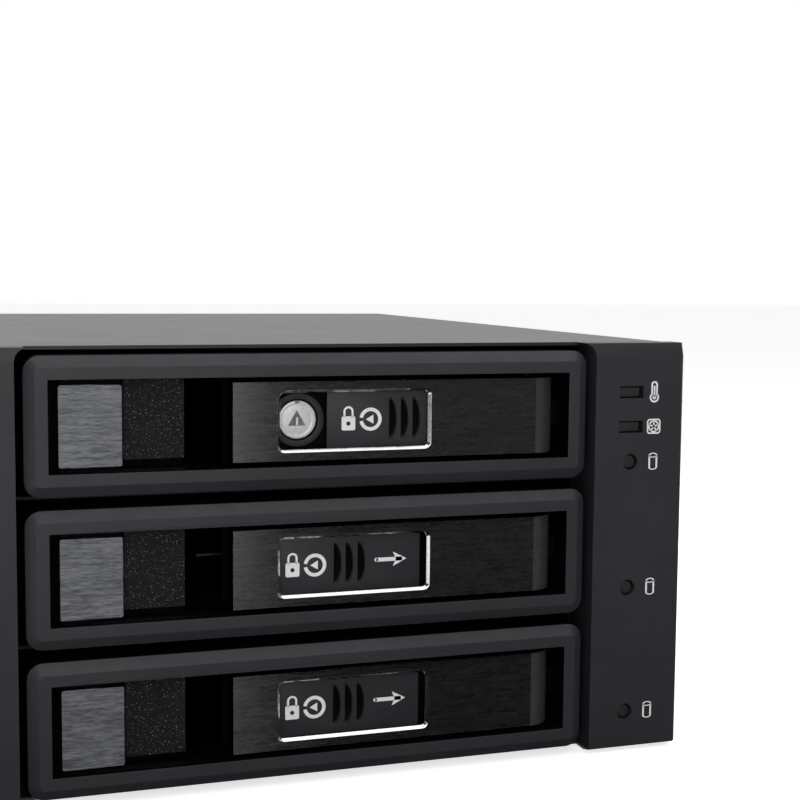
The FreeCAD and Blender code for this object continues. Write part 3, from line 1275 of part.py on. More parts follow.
def build():
    fill_sheets()
    case_shell()
    base_plate()
    for side in ("left", "right"):
        inner_wall(side)
        tray_guides(side)
        pillar(side)
    divider_shelf(2, "divider_shelf_upper")
    divider_shelf(3, "divider_shelf_lower")
    lamp_lenses()
    lamp_board()
    for number in range(1, TRAY_COUNT + 1):
        tray_bezel(number)
        tray_carrier(number)
        brushed_cap(number)
        air_filter(number)
        hinge_pin(number)
        lever_face(number)
        lever_body(number)
        slide_cover(number)
        lock_core(number)
        drive_socket(number)
        data_port(number)
    backplane_board()
    power_port("power_port_lower", "fan_z - tray_pitch * 0.7")
    power_port("power_port_upper", "fan_z + tray_pitch * 0.7")
    rear_panel()
    fan_frame()
    fan_rotor()
    fan_guard()
    screws()


def check_and_write():
    """Stop on any failed object, then write one file for each sub-part."""
    doc.recompute()
    failed = [item.Name for item in doc.Objects if "Invalid" in item.State or "Error" in item.State]
    if failed:
        raise RuntimeError("failed objects: " + ", ".join(failed))
    os.makedirs("parts", exist_ok=True)
    for piece in nodes:
        if piece.Shape.isNull() or not piece.Shape.isValid():
            raise RuntimeError("bad shape: " + piece.Label)
        piece.Shape.exportStep(f"parts/{piece.Label}.step")


build()
check_and_write()
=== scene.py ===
"""Dressed model of the hot swap drive cage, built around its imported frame.

Everything is in metres in the frame's own axes: X to the right, Y from the front to the back,
Z up.
"""
import math

import bpy
from mathutils import Matrix, Vector


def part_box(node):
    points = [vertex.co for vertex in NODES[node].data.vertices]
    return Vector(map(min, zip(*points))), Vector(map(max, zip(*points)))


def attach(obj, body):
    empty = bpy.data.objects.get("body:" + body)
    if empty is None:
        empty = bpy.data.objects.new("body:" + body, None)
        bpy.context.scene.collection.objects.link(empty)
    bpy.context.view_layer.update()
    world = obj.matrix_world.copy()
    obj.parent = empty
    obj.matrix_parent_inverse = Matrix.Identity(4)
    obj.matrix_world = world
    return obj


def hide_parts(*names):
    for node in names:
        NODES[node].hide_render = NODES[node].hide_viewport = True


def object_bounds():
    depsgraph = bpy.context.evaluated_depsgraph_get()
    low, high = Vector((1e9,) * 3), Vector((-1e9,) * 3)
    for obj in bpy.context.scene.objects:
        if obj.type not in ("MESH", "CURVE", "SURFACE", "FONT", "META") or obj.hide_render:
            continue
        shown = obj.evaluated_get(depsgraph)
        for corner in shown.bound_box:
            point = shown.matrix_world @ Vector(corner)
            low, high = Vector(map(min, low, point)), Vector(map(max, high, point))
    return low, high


bl_info = {
    "name": "Hot swap drive cage",
    "version": (1, 0, 0),
    "blender": (4, 5, 0),
    "location": "3D View > Sidebar > Drive cage",
    "description": "Dresses the drive cage's frame: mouldings, levers, locks, icons, fan, stage",
    "category": "Object",
}

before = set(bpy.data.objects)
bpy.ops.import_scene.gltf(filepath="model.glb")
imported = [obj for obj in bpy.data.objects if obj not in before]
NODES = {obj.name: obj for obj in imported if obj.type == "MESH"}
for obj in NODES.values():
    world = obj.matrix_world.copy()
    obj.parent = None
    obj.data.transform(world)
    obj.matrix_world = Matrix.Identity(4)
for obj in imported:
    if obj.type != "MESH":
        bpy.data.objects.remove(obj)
CAD_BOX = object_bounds()
FRONT = CAD_BOX[0][1]
TRAYS = (1, 2, 3)
MM = 0.001
FACING = (math.pi / 2, 0, 0)

# How finely the modelling works: places that count as the same, welded vertices, the nearest
# thing to a place along a blade, and the thickness of a cutting plane
SAME = 1e-6
WELD = 2e-6
NEAR = 1e-5
CUT = 1e-7

# Faces by the Y of their normal: square to the front, or only turned towards it
SQUARE_TO_FRONT = -0.9
TURNED_TO_FRONT = -0.35

# An edge sharper than this is rounded
SHARP_EDGE = math.radians(28)

# Prints, which lie just clear of their faces, and lamps on the right pillar
PRINT_LIFT = 0.02 * MM
KEYHOLE_LIFT = 0.03 * MM
SLOT_LAMP_WIDTH = 5.35 * MM
SLOT_LAMP_HEIGHT = 2.45 * MM
SIGN_OFFSET = 5.15 * MM

# Lever: how far the metal stands out at the hinge and round which part of the turn it goes,
# in degrees, and the bright chamfer round its slot
SKIN_LIFT = 0.02 * MM
SKIN_FROM, SKIN_TO = -91, 24
SLOT_START = 9.1 * MM
SLOT_LENGTH = 29.6 * MM
SLOT_HEIGHT = 10.85 * MM
SLOT_RADIUS = 0.8 * MM
SLOT_CHAMFER = 0.55 * MM

# Scooped grooves of a cover: how many, where they start, their pitch, and each one's size
GROOVES = 3
GROOVE_START = 12.5 * MM
GROOVE_PITCH = 2.4 * MM
GROOVE_WIDTH = 1.6 * MM
GROOVE_HEIGHT = 8.3 * MM
GROOVE_DEPTH = 1.15 * MM

# Key recess of a lock, and the ring round the lock
KEY_SIDE = 3.5 * MM
KEY_DEPTH = 1.5 * MM
COLLAR_RADIUS = 5.2 * MM
COLLAR_BAND = 1.2 * MM

# Fan wheel
BLADES = 7
HUB_RADIUS = 16 * MM
BLADE_THICKNESS = 1.1 * MM
BLADE_STATIONS = 8
ROOT_CHORD, TIP_CHORD = 19 * MM, 40 * MM
ROOT_PITCH, TIP_PITCH = math.radians(50), math.radians(64)

# Camera: its place ahead of the cage's front, its heading, its turn up from straight down
# (5.08 degrees short of level) and its lens in millimetres
CAMERA_X, CAMERA_DISTANCE, CAMERA_Z = -73.55 * MM, 258.98 * MM, 98.23 * MM
CAMERA_HEADING = math.radians(-18.34)
CAMERA_TILT = math.radians(90 - 5.08)
CAMERA_LENS = 64.0

# Floor: its size, and how far it lies under the cage
FLOOR_SIZE = 8
FLOOR_DROP = 0.2 * MM


# ---- selecting and editing ----

def deselect():
    if bpy.context.object is not None and bpy.context.object.mode != "OBJECT":
        bpy.ops.object.mode_set(mode="OBJECT")
    bpy.ops.object.select_all(action="DESELECT")


def pick(piece):
    deselect()
    bpy.context.view_layer.objects.active = piece
    piece.select_set(True)


def edit(piece, element="FACE"):
    pick(piece)
    bpy.ops.object.mode_set(mode="EDIT")
    bpy.ops.mesh.select_mode(type=element)


def edit_all(piece, element="FACE"):
    edit(piece, element)
    bpy.ops.mesh.select_all(action="SELECT")


def leave_edit():
    bpy.ops.object.mode_set(mode="OBJECT")


def discard(piece):
    deselect()
    piece.select_set(True)
    bpy.ops.object.delete()


def rename(piece, name):
    piece.name = name
    piece.data.name = name
    return piece


def choose(piece, wanted, element="polygons"):
    """Select the faces, edges or vertices that the wanted test picks. Ends in edit mode."""
    pick(piece)
    mesh = piece.data
    for part in (mesh.vertices, mesh.edges, mesh.polygons):
        part.foreach_set("select", [False] * len(part))
    for part in getattr(mesh, element):
        part.select = bool(wanted(part))
    modes = {"polygons": "FACE", "edges": "EDGE", "vertices": "VERT"}
    bpy.context.tool_settings.mesh_select_mode = tuple(
        modes[element] == mode for mode in ("VERT", "EDGE", "FACE"))
    bpy.ops.object.mode_set(mode="EDIT")


def settle(piece, name):
    """Move an object's place into its mesh and name it."""
    pick(piece)
    bpy.ops.object.transform_apply(location=True, rotation=True, scale=True)
    return rename(piece, name)


def apply_modifier(piece, kind, **settings):
    pick(piece)
    bpy.ops.object.modifier_add(type=kind)
    modifier = piece.modifiers[-1]
    for key, setting in settings.items():
        setattr(modifier, key, setting)
    bpy.ops.object.modifier_apply(modifier=modifier.name)


def smooth(piece, degrees=35):
    pick(piece)
    bpy.ops.object.shade_smooth_by_angle(angle=math.radians(degrees))


def join(pieces, name):
    deselect()
    for piece in pieces:
        piece.select_set(True)
    bpy.context.view_layer.objects.active = pieces[0]
    bpy.ops.object.join()
    return rename(pieces[0], name)


def dress(piece, material, body, slot, *replaced):
    """Give a finished piece its material and its body. The slot argument is not used."""
    if len(piece.data.materials) < 2:
        piece.data.materials.clear()
        piece.data.materials.append(material)
    piece.data.materials[0] = material
    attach(piece, body)
    if replaced:
        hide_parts(*replaced)


def paint(node, material):
    """Give a frame node a material in place of its plain one."""
    for index in range(len(NODES[node].material_slots)):
        NODES[node].material_slots[index].material = material


def softened(node, name, width, segments=2):
    """A copy of a node with its edges rounded, as a mould or a press leaves them."""
    piece = NODES[node].copy()
    piece.data = NODES[node].data.copy()
    for key in list(piece.keys()):
        del piece[key]
    bpy.context.scene.collection.objects.link(piece)
    piece.parent = None
    edit_all(piece)
    bpy.ops.mesh.remove_doubles(threshold=WELD)
    bpy.ops.mesh.dissolve_limited(angle_limit=math.radians(1))
    leave_edit()
    apply_modifier(piece, "BEVEL", width=width, segments=segments, limit_method="ANGLE",
                   angle_limit=SHARP_EDGE, miter_outer="MITER_ARC",
                   use_clamp_overlap=True)
    smooth(piece, 40)
    apply_modifier(piece, "WEIGHTED_NORMAL", weight=100, keep_sharp=True)
    return rename(piece, name)


def paint_shade_inside(piece, material, depth, rim=None):
    """Paint shade on the faces deeper than a place along Y, where the recess lies in shade.

    Faces near the outline, closer than rim, that face forwards stay as they are.
    """
    spots = [vertex.co for vertex in piece.data.vertices]
    low = Vector((min(spot[axis] for spot in spots) for axis in range(3)))
    high = Vector((max(spot[axis] for spot in spots) for axis in range(3)))

    def on_rim(face):
        centre = face.center
        reach = min(centre.x - low.x, high.x - centre.x, centre.z - low.z, high.z - centre.z)
        return rim is not None and face.normal.y < TURNED_TO_FRONT and reach < rim

    while len(piece.data.materials) < 2:
        piece.data.materials.append(material)
    choose(piece, lambda face: face.center.y > depth and not on_rim(face))
    piece.active_material_index = 1
    bpy.ops.object.material_slot_assign()
    leave_edit()


# ---- simple solids ----

def rod(place, radius, depth, name, vertices=96):
    """A closed cylinder that lies along Y."""
    deselect()
    bpy.ops.mesh.primitive_cylinder_add(vertices=vertices, radius=radius, depth=depth,
                                        location=place, rotation=FACING)
    return settle(bpy.context.object, name)


def block(place, size, name):
    """A box with the given middle and size."""
    deselect()
    bpy.ops.mesh.primitive_cube_add(size=1, location=place)
    piece = bpy.context.object
    piece.scale = size
    return settle(piece, name)


# ---- flat shapes on a front face, for prints and rims ----

def hollow(piece, line):
    """Keep only a band of the given width along a flat piece's outline."""
    edit_all(piece)
    bpy.ops.mesh.inset(thickness=line, depth=0)
    bpy.ops.mesh.delete(type="FACE")
    leave_edit()


def disc(x, y, z, radius, sides=32):
    deselect()
    bpy.ops.mesh.primitive_circle_add(vertices=sides, radius=radius, fill_type="NGON",
                                      location=(x, y, z), rotation=FACING)
    return settle(bpy.context.object, "Disc")


def bar(start, end, y, width):
    """A straight band between two places given as (x, z)."""
    run = (end[0] - start[0], end[1] - start[1])
    deselect()
    bpy.ops.mesh.primitive_plane_add(
        size=1, rotation=(math.pi / 2, -math.atan2(run[1], run[0]), 0),
        location=((start[0] + end[0]) / 2, y, (start[1] + end[1]) / 2))
    piece = bpy.context.object
    piece.scale = (math.hypot(*run), width, 1)
    return settle(piece, "Bar")


def ring(x, y, z, radius, line, keep=None, squeeze=1.0, sides=48):
    """A round band of the given line width. keep picks the part of the turn, in degrees."""
    deselect()
    bpy.ops.mesh.primitive_circle_add(vertices=sides, radius=radius, fill_type="NGON",
                                      location=(x, y, z), rotation=FACING)
    piece = bpy.context.object
    hollow(piece, line)
    settle(piece, "Ring")
    if keep is not None:
        def outside(face):
            centre = face.center
            return not keep(math.degrees(math.atan2(centre.z - z, centre.x - x)))

        choose(piece, outside)
        bpy.ops.mesh.delete(type="FACE")
        leave_edit()
    if squeeze != 1.0:
        edit_all(piece)
        bpy.ops.transform.resize(value=(1, 1, squeeze), center_override=(x, y, z))
        leave_edit()
    return piece


def rounded_plate(x, y, z, width, height, radius):
    """A flat plate with round corners, facing the front."""
    deselect()
    bpy.ops.mesh.primitive_plane_add(size=1, location=(x, y, z), rotation=FACING)
    piece = bpy.context.object
    piece.scale = (width, height, 1)
    settle(piece, "Plate")
    edit_all(piece, "VERT")
    bpy.ops.mesh.bevel(offset=radius, segments=6, affect="VERTICES")
    leave_edit()
    return piece


def rounded_band(x, y, z, width, height, radius, line):
    """Outline of a plate with round corners."""
    piece = rounded_plate(x, y, z, width, height, radius)
    hollow(piece, line)
    return piece


# ---- materials ----

def new_material(name):
    material = bpy.data.materials.new(name)
    material.use_nodes = True
    tree = material.node_tree
    return material, tree, tree.nodes["Principled BSDF"]


def feed(tree, node, inputs):
    """Set a node's inputs, each to a value or to another node's output."""
    for name, term in inputs.items():
        if isinstance(term, bpy.types.NodeSocket):
            tree.links.new(term, node.inputs[name])
        else:
            node.inputs[name].default_value = term


def add_node(tree, kind, inputs):
    node = tree.nodes.new(kind)
    feed(tree, node, inputs)
    return node


def object_coordinates(tree, scale=(1, 1, 1), turn=(0, 0, 0)):
    place = tree.nodes.new("ShaderNodeTexCoord").outputs["Object"]
    return add_node(tree, "ShaderNodeMapping",
                    {"Scale": scale, "Rotation": turn, "Vector": place}).outputs["Vector"]


def noise(tree, vector, scale, detail=3.0, roughness=0.5):
    return add_node(tree, "ShaderNodeTexNoise", {
        "Scale": scale, "Detail": detail, "Roughness": roughness,
        "Vector": vector}).outputs["Fac"]


def spread(tree, source, low, high, start=0.3, end=0.7):
    """Map a texture's value to a range."""
    return add_node(tree, "ShaderNodeMapRange", {
        "From Min": start, "From Max": end, "To Min": low, "To Max": high,
        "Value": source}).outputs["Result"]


def tint(tree, source, dark, light, start=0.3, end=0.7):
    node = tree.nodes.new("ShaderNodeValToRGB")
    node.color_ramp.elements[0].position = start
    node.color_ramp.elements[0].color = (*dark, 1)
    node.color_ramp.elements[1].position = end
    node.color_ramp.elements[1].color = (*light, 1)
    tree.links.new(source, node.inputs["Fac"])
    return node.outputs["Color"]


def calculate(tree, operation, *terms):
    """Combine numbers and sockets with one math node."""
    node = tree.nodes.new("ShaderNodeMath")
    node.operation = operation
    for place, term in zip(node.inputs, terms):
        if isinstance(term, (int, float)):
            place.default_value = term
        else:
            tree.links.new(term, place)
    return node.outputs[0]


def shade(colour, factor):
    return [channel * factor for channel in colour]


def blend(tree, factor, first, second):
    """Mix two colours."""
    node = tree.nodes.new("ShaderNodeMix")
    node.data_type = "RGBA"
    feed(tree, node, {"Factor": factor, "A": first, "B": second})
    return node.outputs["Result"]


def bump(tree, shader, height, strength, distance):
    node = add_node(tree, "ShaderNodeBump",
                    {"Strength": strength, "Distance": distance, "Height": height})
    feed(tree, shader, {"Normal": node.outputs["Normal"]})


def moulded(name, colour, roughness, grain=2600, depth=0.00006, shine=0.5):
    """Moulded plastic with a fine spark-eroded grain."""
    material, tree, shader = new_material(name)
    place = object_coordinates(tree)
    cells = add_node(tree, "ShaderNodeTexVoronoi", {"Scale": grain, "Vector": place})
    worn = noise(tree, place, 45, 4)
    feed(tree, shader, {
        "Specular IOR Level": shine,
        "Base Color": tint(tree, worn, shade(colour, 0.9), shade(colour, 1.1)),
        "Roughness": spread(tree, noise(tree, place, 320, 2), roughness - 0.05, roughness + 0.06),
    })
    bump(tree, shader, cells.outputs["Distance"], 0.5, depth)
    return material


def painted(name, colour, roughness):
    """Powder coat on sheet steel, with a slight orange peel."""
    material, tree, shader = new_material(name)
    place = object_coordinates(tree)
    cloud = noise(tree, place, 14, 3)
    haze = noise(tree, place, 60, 3)
    feed(tree, shader, {
        "Base Color": tint(tree, cloud, shade(colour, 0.93), shade(colour, 1.07)),
        "Roughness": spread(tree, haze, roughness - 0.015, roughness + 0.015),
    })
    bump(tree, shader, noise(tree, place, 900, 2), 0.25, 0.00004)
    return material


def brushed(name, colour, roughness, contrast=0.2, metallic=1.0):
    """Metal brushed along X: fine long scratches in colour, roughness and relief."""
    material, tree, shader = new_material(name)
    fine = noise(tree, object_coordinates(tree, (520, 1, 4600)), 1.0, 3, 0.6)
    broad = noise(tree, object_coordinates(tree, (130, 1, 1500)), 1.0, 3, 0.55)
    lines = calculate(tree, "MULTIPLY_ADD", fine, 0.55, calculate(tree, "MULTIPLY", broad, 0.45))
    dark, light = shade(colour, 1 - contrast), shade(colour, 1 + contrast)
    tangent = tree.nodes.new("ShaderNodeTangent")
    tangent.direction_type = "RADIAL"
    tangent.axis = "Z"
    feed(tree, shader, {
        "Metallic": metallic,
        "Anisotropic": 1.0,
        "Anisotropic Rotation": 0.25,
        "Base Color": tint(tree, lines, dark, light, 0.38, 0.62),
        "Roughness": spread(tree, lines, roughness - 0.06, roughness + 0.08),
        "Tangent": tangent.outputs["Tangent"],
    })
    bump(tree, shader, lines, 0.2, 0.00002)
    return material


def metal(name, colour, roughness, scratch=700, metallic=1.0):
    """Plain metal with faint scratches."""
    material, tree, shader = new_material(name)
    lines = noise(tree, object_coordinates(tree, (1, 1, 4)), scratch, 3)
    feed(tree, shader, {
        "Metallic": metallic,
        "Base Color": (*colour, 1),
        "Roughness": spread(tree, lines, roughness * 0.7, roughness * 1.4),
    })
    bump(tree, shader, lines, 0.12, 0.00003)
    return material


def printed(name, colour):
    """Screen-printed ink, a little uneven."""
    material, tree, shader = new_material(name)
    place = object_coordinates(tree)
    feed(tree, shader, {
        "Base Color": tint(tree, noise(tree, place, 3000, 2), shade(colour, 0.9), colour),
        "Roughness": 0.55,
    })
    bump(tree, shader, noise(tree, place, 6000, 2), 0.2, 0.00002)
    return material


def foam_with_painted_glints(name, colour, glint_colour):
    """Dark filter foam with glints on a few of its cells."""
    material, tree, shader = new_material(name)
    place = object_coordinates(tree)
    cells = add_node(tree, "ShaderNodeTexVoronoi", {"Scale": 2100, "Vector": place})
    glint_mask = spread(tree, noise(tree, place, 3600, 1, 0.4), 0, 1, 0.66, 0.74)
    ground = tint(tree, noise(tree, place, 1500, 4), shade(colour, 0.6), shade(colour, 1.3))
    feed(tree, shader, {
        # Glints painted into the base colour on a few cells, as painted highlights
        "Base Color": blend(tree, glint_mask, ground, (*glint_colour, 1)),
        "Roughness": 0.8,
        "Specular IOR Level": 0.25,
    })
    bump(tree, shader, cells.outputs["Distance"], 0.5, 0.0001)
    return material


def circuit_board(name):
    """Solder mask with faint copper runs under it."""
    material, tree, shader = new_material(name)
    runs = add_node(tree, "ShaderNodeTexBrick", {
        "Scale": 260,
        "Color1": (0.008, 0.05, 0.022, 1),
        "Color2": (0.010, 0.06, 0.026, 1),
        "Mortar": (0.016, 0.09, 0.038, 1),
        "Mortar Size": 0.04,
        "Vector": object_coordinates(tree, turn=(math.pi / 2, 0, 0)),
    })
    feed(tree, shader, {
        "Base Color": runs.outputs["Color"],
        "Roughness": spread(tree, runs.outputs["Fac"], 0.32, 0.4, 0, 1),
    })
    bump(tree, shader, runs.outputs["Fac"], 0.2, 0.00004)
    return material


def smoked_lens(name):
    """Smoke-dark plastic of an unlit lamp's light guide."""
    material, tree, shader = new_material(name)
    place = object_coordinates(tree)
    cloud = noise(tree, place, 500, 2)
    feed(tree, shader, {
        "Base Color": tint(tree, cloud, (0.02, 0.02, 0.023), (0.027, 0.027, 0.03)),
        "Roughness": 0.5,
    })
    bump(tree, shader, noise(tree, place, 900, 2), 0.1, 0.00004)
    return material


FINISHES = {}


def finish(name):
    return FINISHES[name]


def mix_finishes(looks):
    """Make every material once, from the colours that the user sets."""
    plastic = tuple(looks.plastic_colour)
    steel = tuple(looks.steel_colour)
    lever = tuple(looks.lever_colour)
    FINISHES.update({
        "case": painted("Case steel", steel, 0.42),
        "inside": painted("Inner steel", shade(steel, 0.4), 0.6),
        "pillar": moulded("Pillar plastic", plastic, 0.5),
        "bezel": moulded("Bezel plastic", shade(plastic, 1.1), 0.46, 3000),
        # Painted shade: near-black, almost unshiny plastic for recesses, gaps and seats that lie
        # in shade
        "painted_shade": moulded("Shaded plastic", shade(plastic, 0.1), 0.6, 1800, shine=0.05),
        "carrier": moulded("Carrier plastic", shade(plastic, 0.2), 0.9, 1800, shine=0.0),
        "guide": moulded("Guide plastic", shade(plastic, 0.3), 0.8, 1800, shine=0.05),
        "cap": brushed("Cap aluminium", tuple(looks.cap_colour), 0.35, 0.5),
        "lever": brushed("Lever aluminium", lever, 0.27, 0.2),
        # Painted shade: the lever's own metal, darker and less metallic, for its curved hinge end
        "hinge": brushed("Hinge aluminium", shade(lever, 0.32), 0.42, 0.2, 0.35),
        "cover": moulded("Cover plastic", tuple(looks.cover_colour), 0.42, 4200, 0.00003),
        "collar": moulded("Collar plastic", shade(plastic, 0.9), 0.5, 4200, 0.00003),
        "bright": metal("Bright edge", (0.95, 0.95, 0.94), 0.16),
        "lock": metal("Lock metal", (0.97, 0.96, 0.95), 0.36, 1500, 0.5),
        # Painted shade: the lever pins made near black, where they sit in shade
        "pin": metal("Pin steel", (0.01, 0.01, 0.01), 0.5),
        # Painted shade: the lock's metal made dark in its key recess
        "keyway": metal("Keyway metal", (0.3, 0.3, 0.3), 0.4, 1500, 0.5),
        "screw": metal("Screw steel", (0.3, 0.3, 0.31), 0.35),
        "ink": printed("White ink", tuple(looks.icon_colour)),
        "foam": foam_with_painted_glints("Filter foam", (0.01, 0.01, 0.01), (0.3, 0.3, 0.3)),
        "lens": smoked_lens("Lamp lens"),
        "board": circuit_board("Circuit board"),
        "socket": moulded("Socket plastic", (0.01, 0.01, 0.01), 0.45, 2400),
        "port": moulded("Plug plastic", (0.62, 0.6, 0.55), 0.4, 2400),
        "fan": moulded("Fan plastic", (0.012, 0.012, 0.013), 0.8, 1600, shine=0.08),
        "guard": painted("Guard paint", (0.03, 0.03, 0.03), 0.35),
    })


# ---- icons ----

def triangle(x, y, z, side, turn):
    """A flat triangle of equal sides round a middle place. Turn 0 points up, 90 left."""
    deselect()
    bpy.ops.mesh.primitive_circle_add(
        vertices=3, radius=side / math.sqrt(3), fill_type="NGON",
        location=(x, y, z), rotation=(math.pi / 2, -math.radians(turn), 0))
    return settle(bpy.context.object, "Triangle")


def padlock_icon(x, y, z, width):
    """Closed padlock: square body and a shackle above it."""
    line = width * 0.15
    shackle = width * 0.37
    foot = z + width / 2
    top = foot + width * 0.33
    parts = [rounded_plate(x, y, z, width, width, width * 0.12),
             ring(x, y, top, shackle, line, lambda turn: turn > 0, sides=40)]
    for side in (-1, 1):
        edge = x + side * (shackle - line / 2)
        parts.append(bar((edge, foot - line / 2), (edge, top), y, line))
    return parts


def lock_turn_icon(x, y, z, radius):
    """Ring that is open at the left, round a triangle that points left."""
    return [ring(x, y, z, radius, radius * 0.31, lambda turn: abs(turn) < 170, sides=72),
            triangle(x + radius * 0.03, y, z, radius * 0.78, 90)]


def arrow_icon(x, y, z, length):
    """Straight arrow to the right with a barbed head."""
    head = length * 0.43
    line = length * 0.115
    tip = triangle(x + length / 2 - head * 0.62, y, z, head, -90)
    edit_all(tip)
    bpy.ops.transform.resize(value=(1.12, 1, 1), center_override=(x + length / 2, y, z))
    leave_edit()
    corners = tip.data.vertices
    back = min(vertex.co.x for vertex in corners)
    choose(tip, lambda edge: all(corners[end].co.x < back + SAME for end in edge.vertices),
           "edges")
    bpy.ops.mesh.subdivide()
    leave_edit()
    choose(tip, lambda vertex: abs(vertex.co.z - z) < SAME and vertex.co.x < back + SAME,
           "vertices")
    bpy.ops.transform.translate(value=(head * 0.22, 0, 0))
    leave_edit()
    shaft = bar((x - length / 2 + line / 2, z), (x + length / 2 - head * 0.35, z), y, line)
    return [shaft, disc(x - length / 2 + line / 2, y, z, line / 2, 20), tip]


def thermometer_icon(x, y, z, height):
    """Outline of a thermometer with its column and bulb."""
    line = height * 0.085
    bulb = height * 0.245
    tube = height * 0.17
    low = z - height / 2 + bulb
    high = z + height / 2 - tube
    join_turn = math.degrees(math.acos(tube / bulb))
    parts = [
        ring(x, y, low, bulb, line, lambda turn: not join_turn < turn < 180 - join_turn),
        ring(x, y, high, tube, line, lambda turn: turn > 0, sides=32),
        bar((x, low), (x, high - tube * 0.3), y, line),
        disc(x, y, low, bulb * 0.4, 24),
    ]
    shoulder = low + bulb * math.sin(math.radians(join_turn)) - line
    for side in (-1, 1):
        edge = x + side * (tube - line / 2)
        parts.append(bar((edge, shoulder), (edge, high), y, line))
    return parts


def fan_icon(x, y, z, size):
    """Rounded square with a round fan of five blades."""
    line = size * 0.1
    radius = size * 0.4
    parts = [rounded_band(x, y, z, size, size, size * 0.2, line),
             ring(x, y, z, radius, line, sides=40)]
    for blade in range(5):
        turn = math.radians(90 + 72 * blade)
        tip = (x + radius * 0.92 * math.cos(turn), z + radius * 0.92 * math.sin(turn))
        parts.append(bar((x, z), tip, y, line))
    parts.append(disc(x, y, z, size * 0.09, 20))
    return parts


def drum_icon(x, y, z, height):
    """Upright cylinder, the sign for a drive."""
    line = height * 0.11
    half = height * 0.29
    squeeze = 0.5
    top = z + height / 2 - half * squeeze
    low = z - height / 2 + half * squeeze
    parts = [ring(x, y, top, half, line, None, squeeze),
             ring(x, y, low, half, line, lambda turn: turn < 0, squeeze)]
    for side in (-1, 1):
        edge = x + side * (half - line / 2)
        parts.append(bar((edge, low), (edge, top), y, line))
    return parts


# ---- sizes read from the frame ----

def edges(node):
    """Low and high corners of a node."""
    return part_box(node)


def middle(node):
    low, high = edges(node)
    return (low + high) / 2


def push_front_back(piece, node, reach):
    """Move a seat's front face back by a distance, so that it lies sunk behind its light guide."""
    front = edges(node)[0].y
    choose(piece, lambda vertex: vertex.co.y < front + 0.1 * MM, "vertices")
    bpy.ops.transform.translate(value=(0, reach, 0))
    leave_edit()


# ---- pieces ----

def case_pieces():
    for node, width in (("case_shell", 0.18), ("rear_panel", 0.12), ("base_plate", 0.12)):
        piece = softened(node, f"painted_{node}", width * MM)
        dress(piece, finish("case"), "cage", "case_steel", node)
    for node in ("inner_wall_left", "inner_wall_right",
                 "divider_shelf_upper", "divider_shelf_lower"):
        paint(node, finish("inside"))
    for node in ("tray_guides_left", "tray_guides_right"):
        paint(node, finish("guide"))


def pillar_pieces(looks):
    soft = looks.edge_softness
    for side in ("left", "right"):
        node = f"pillar_{side}"
        piece = softened(node, f"moulded_pillar_{side}", soft * 0.7)
        dress(piece, finish("pillar"), "cage", "pillar_plastic", node)
    for node in ("heat_lamp_lens", "fan_lamp_lens"):
        slot_lens(node)
    for number in TRAYS:
        round_lens(f"drive_lamp_lens_{number}")
    paint("lamp_board", finish("board"))


def slot_lens(node):
    """Light guide in a slot: a raised bar, with painted shade at the top, right and bottom from a
    black seat sunk behind it.
    """
    centre = middle(node)
    # The seat is painted shade: black plastic sunk behind the bar, where the slot lies in shade
    black = softened(node, f"{node}_seat", 0.05 * MM, 1)
    dress(black, finish("painted_shade"), "cage", "pillar_plastic")
    push_front_back(black, node, 0.9 * MM)
    left = centre.x - SLOT_LAMP_WIDTH / 2 + 0.1 * MM
    right = centre.x + SLOT_LAMP_WIDTH / 2 - 0.6 * MM
    guide = block(((left + right) / 2, edges(node)[0].y + 0.65 * MM, centre.z),
                  (right - left, 1.1 * MM, SLOT_LAMP_HEIGHT - 0.45 * MM), f"{node}_bar")
    apply_modifier(guide, "BEVEL", width=0.15 * MM, segments=3)
    smooth(guide)
    dress(guide, finish("lens"), "cage", "pillar_plastic", node)


def round_lens(node):
    """Light guide in a round hole: a domed rod with a ring of painted shade round it, from a black
    seat sunk behind it.
    """
    centre = middle(node)
    dome = rod((centre.x - 0.05 * MM, edges(node)[0].y + 0.85 * MM, centre.z),
               1.3 * MM, 1.4 * MM, f"{node}_dome", 48)
    choose(dome, lambda face: face.normal.y < SQUARE_TO_FRONT)
    for thickness, depth in ((0.2, 0.05), (0.4, 0.06), (0.4, 0.02)):
        bpy.ops.mesh.inset(thickness=thickness * MM, depth=depth * MM)
    leave_edit()
    smooth(dome, 60)
    dress(dome, finish("lens"), "cage", "pillar_plastic")
    # The seat is painted shade: black plastic sunk behind the dome, where the hole lies in shade
    black = softened(node, f"{node}_seat", 0.05 * MM, 1)
    push_front_back(black, node, 0.7 * MM)
    dress(black, finish("painted_shade"), "cage", "pillar_plastic", node)


def lamp_icons():
    """Printed signs beside the lamps."""
    face = edges("pillar_right")[0].y - PRINT_LIFT
    x = middle("heat_lamp_lens").x + SIGN_OFFSET
    parts = thermometer_icon(x, face, middle("heat_lamp_lens").z, 4.4 * MM)
    parts += fan_icon(x, face, middle("fan_lamp_lens").z, 3.1 * MM)
    for number in TRAYS:
        parts += drum_icon(x, face, middle(f"drive_lamp_lens_{number}").z, 3.5 * MM)
    dress(join(parts, "lamp_icons"), finish("ink"), "cage", "pillar_plastic")


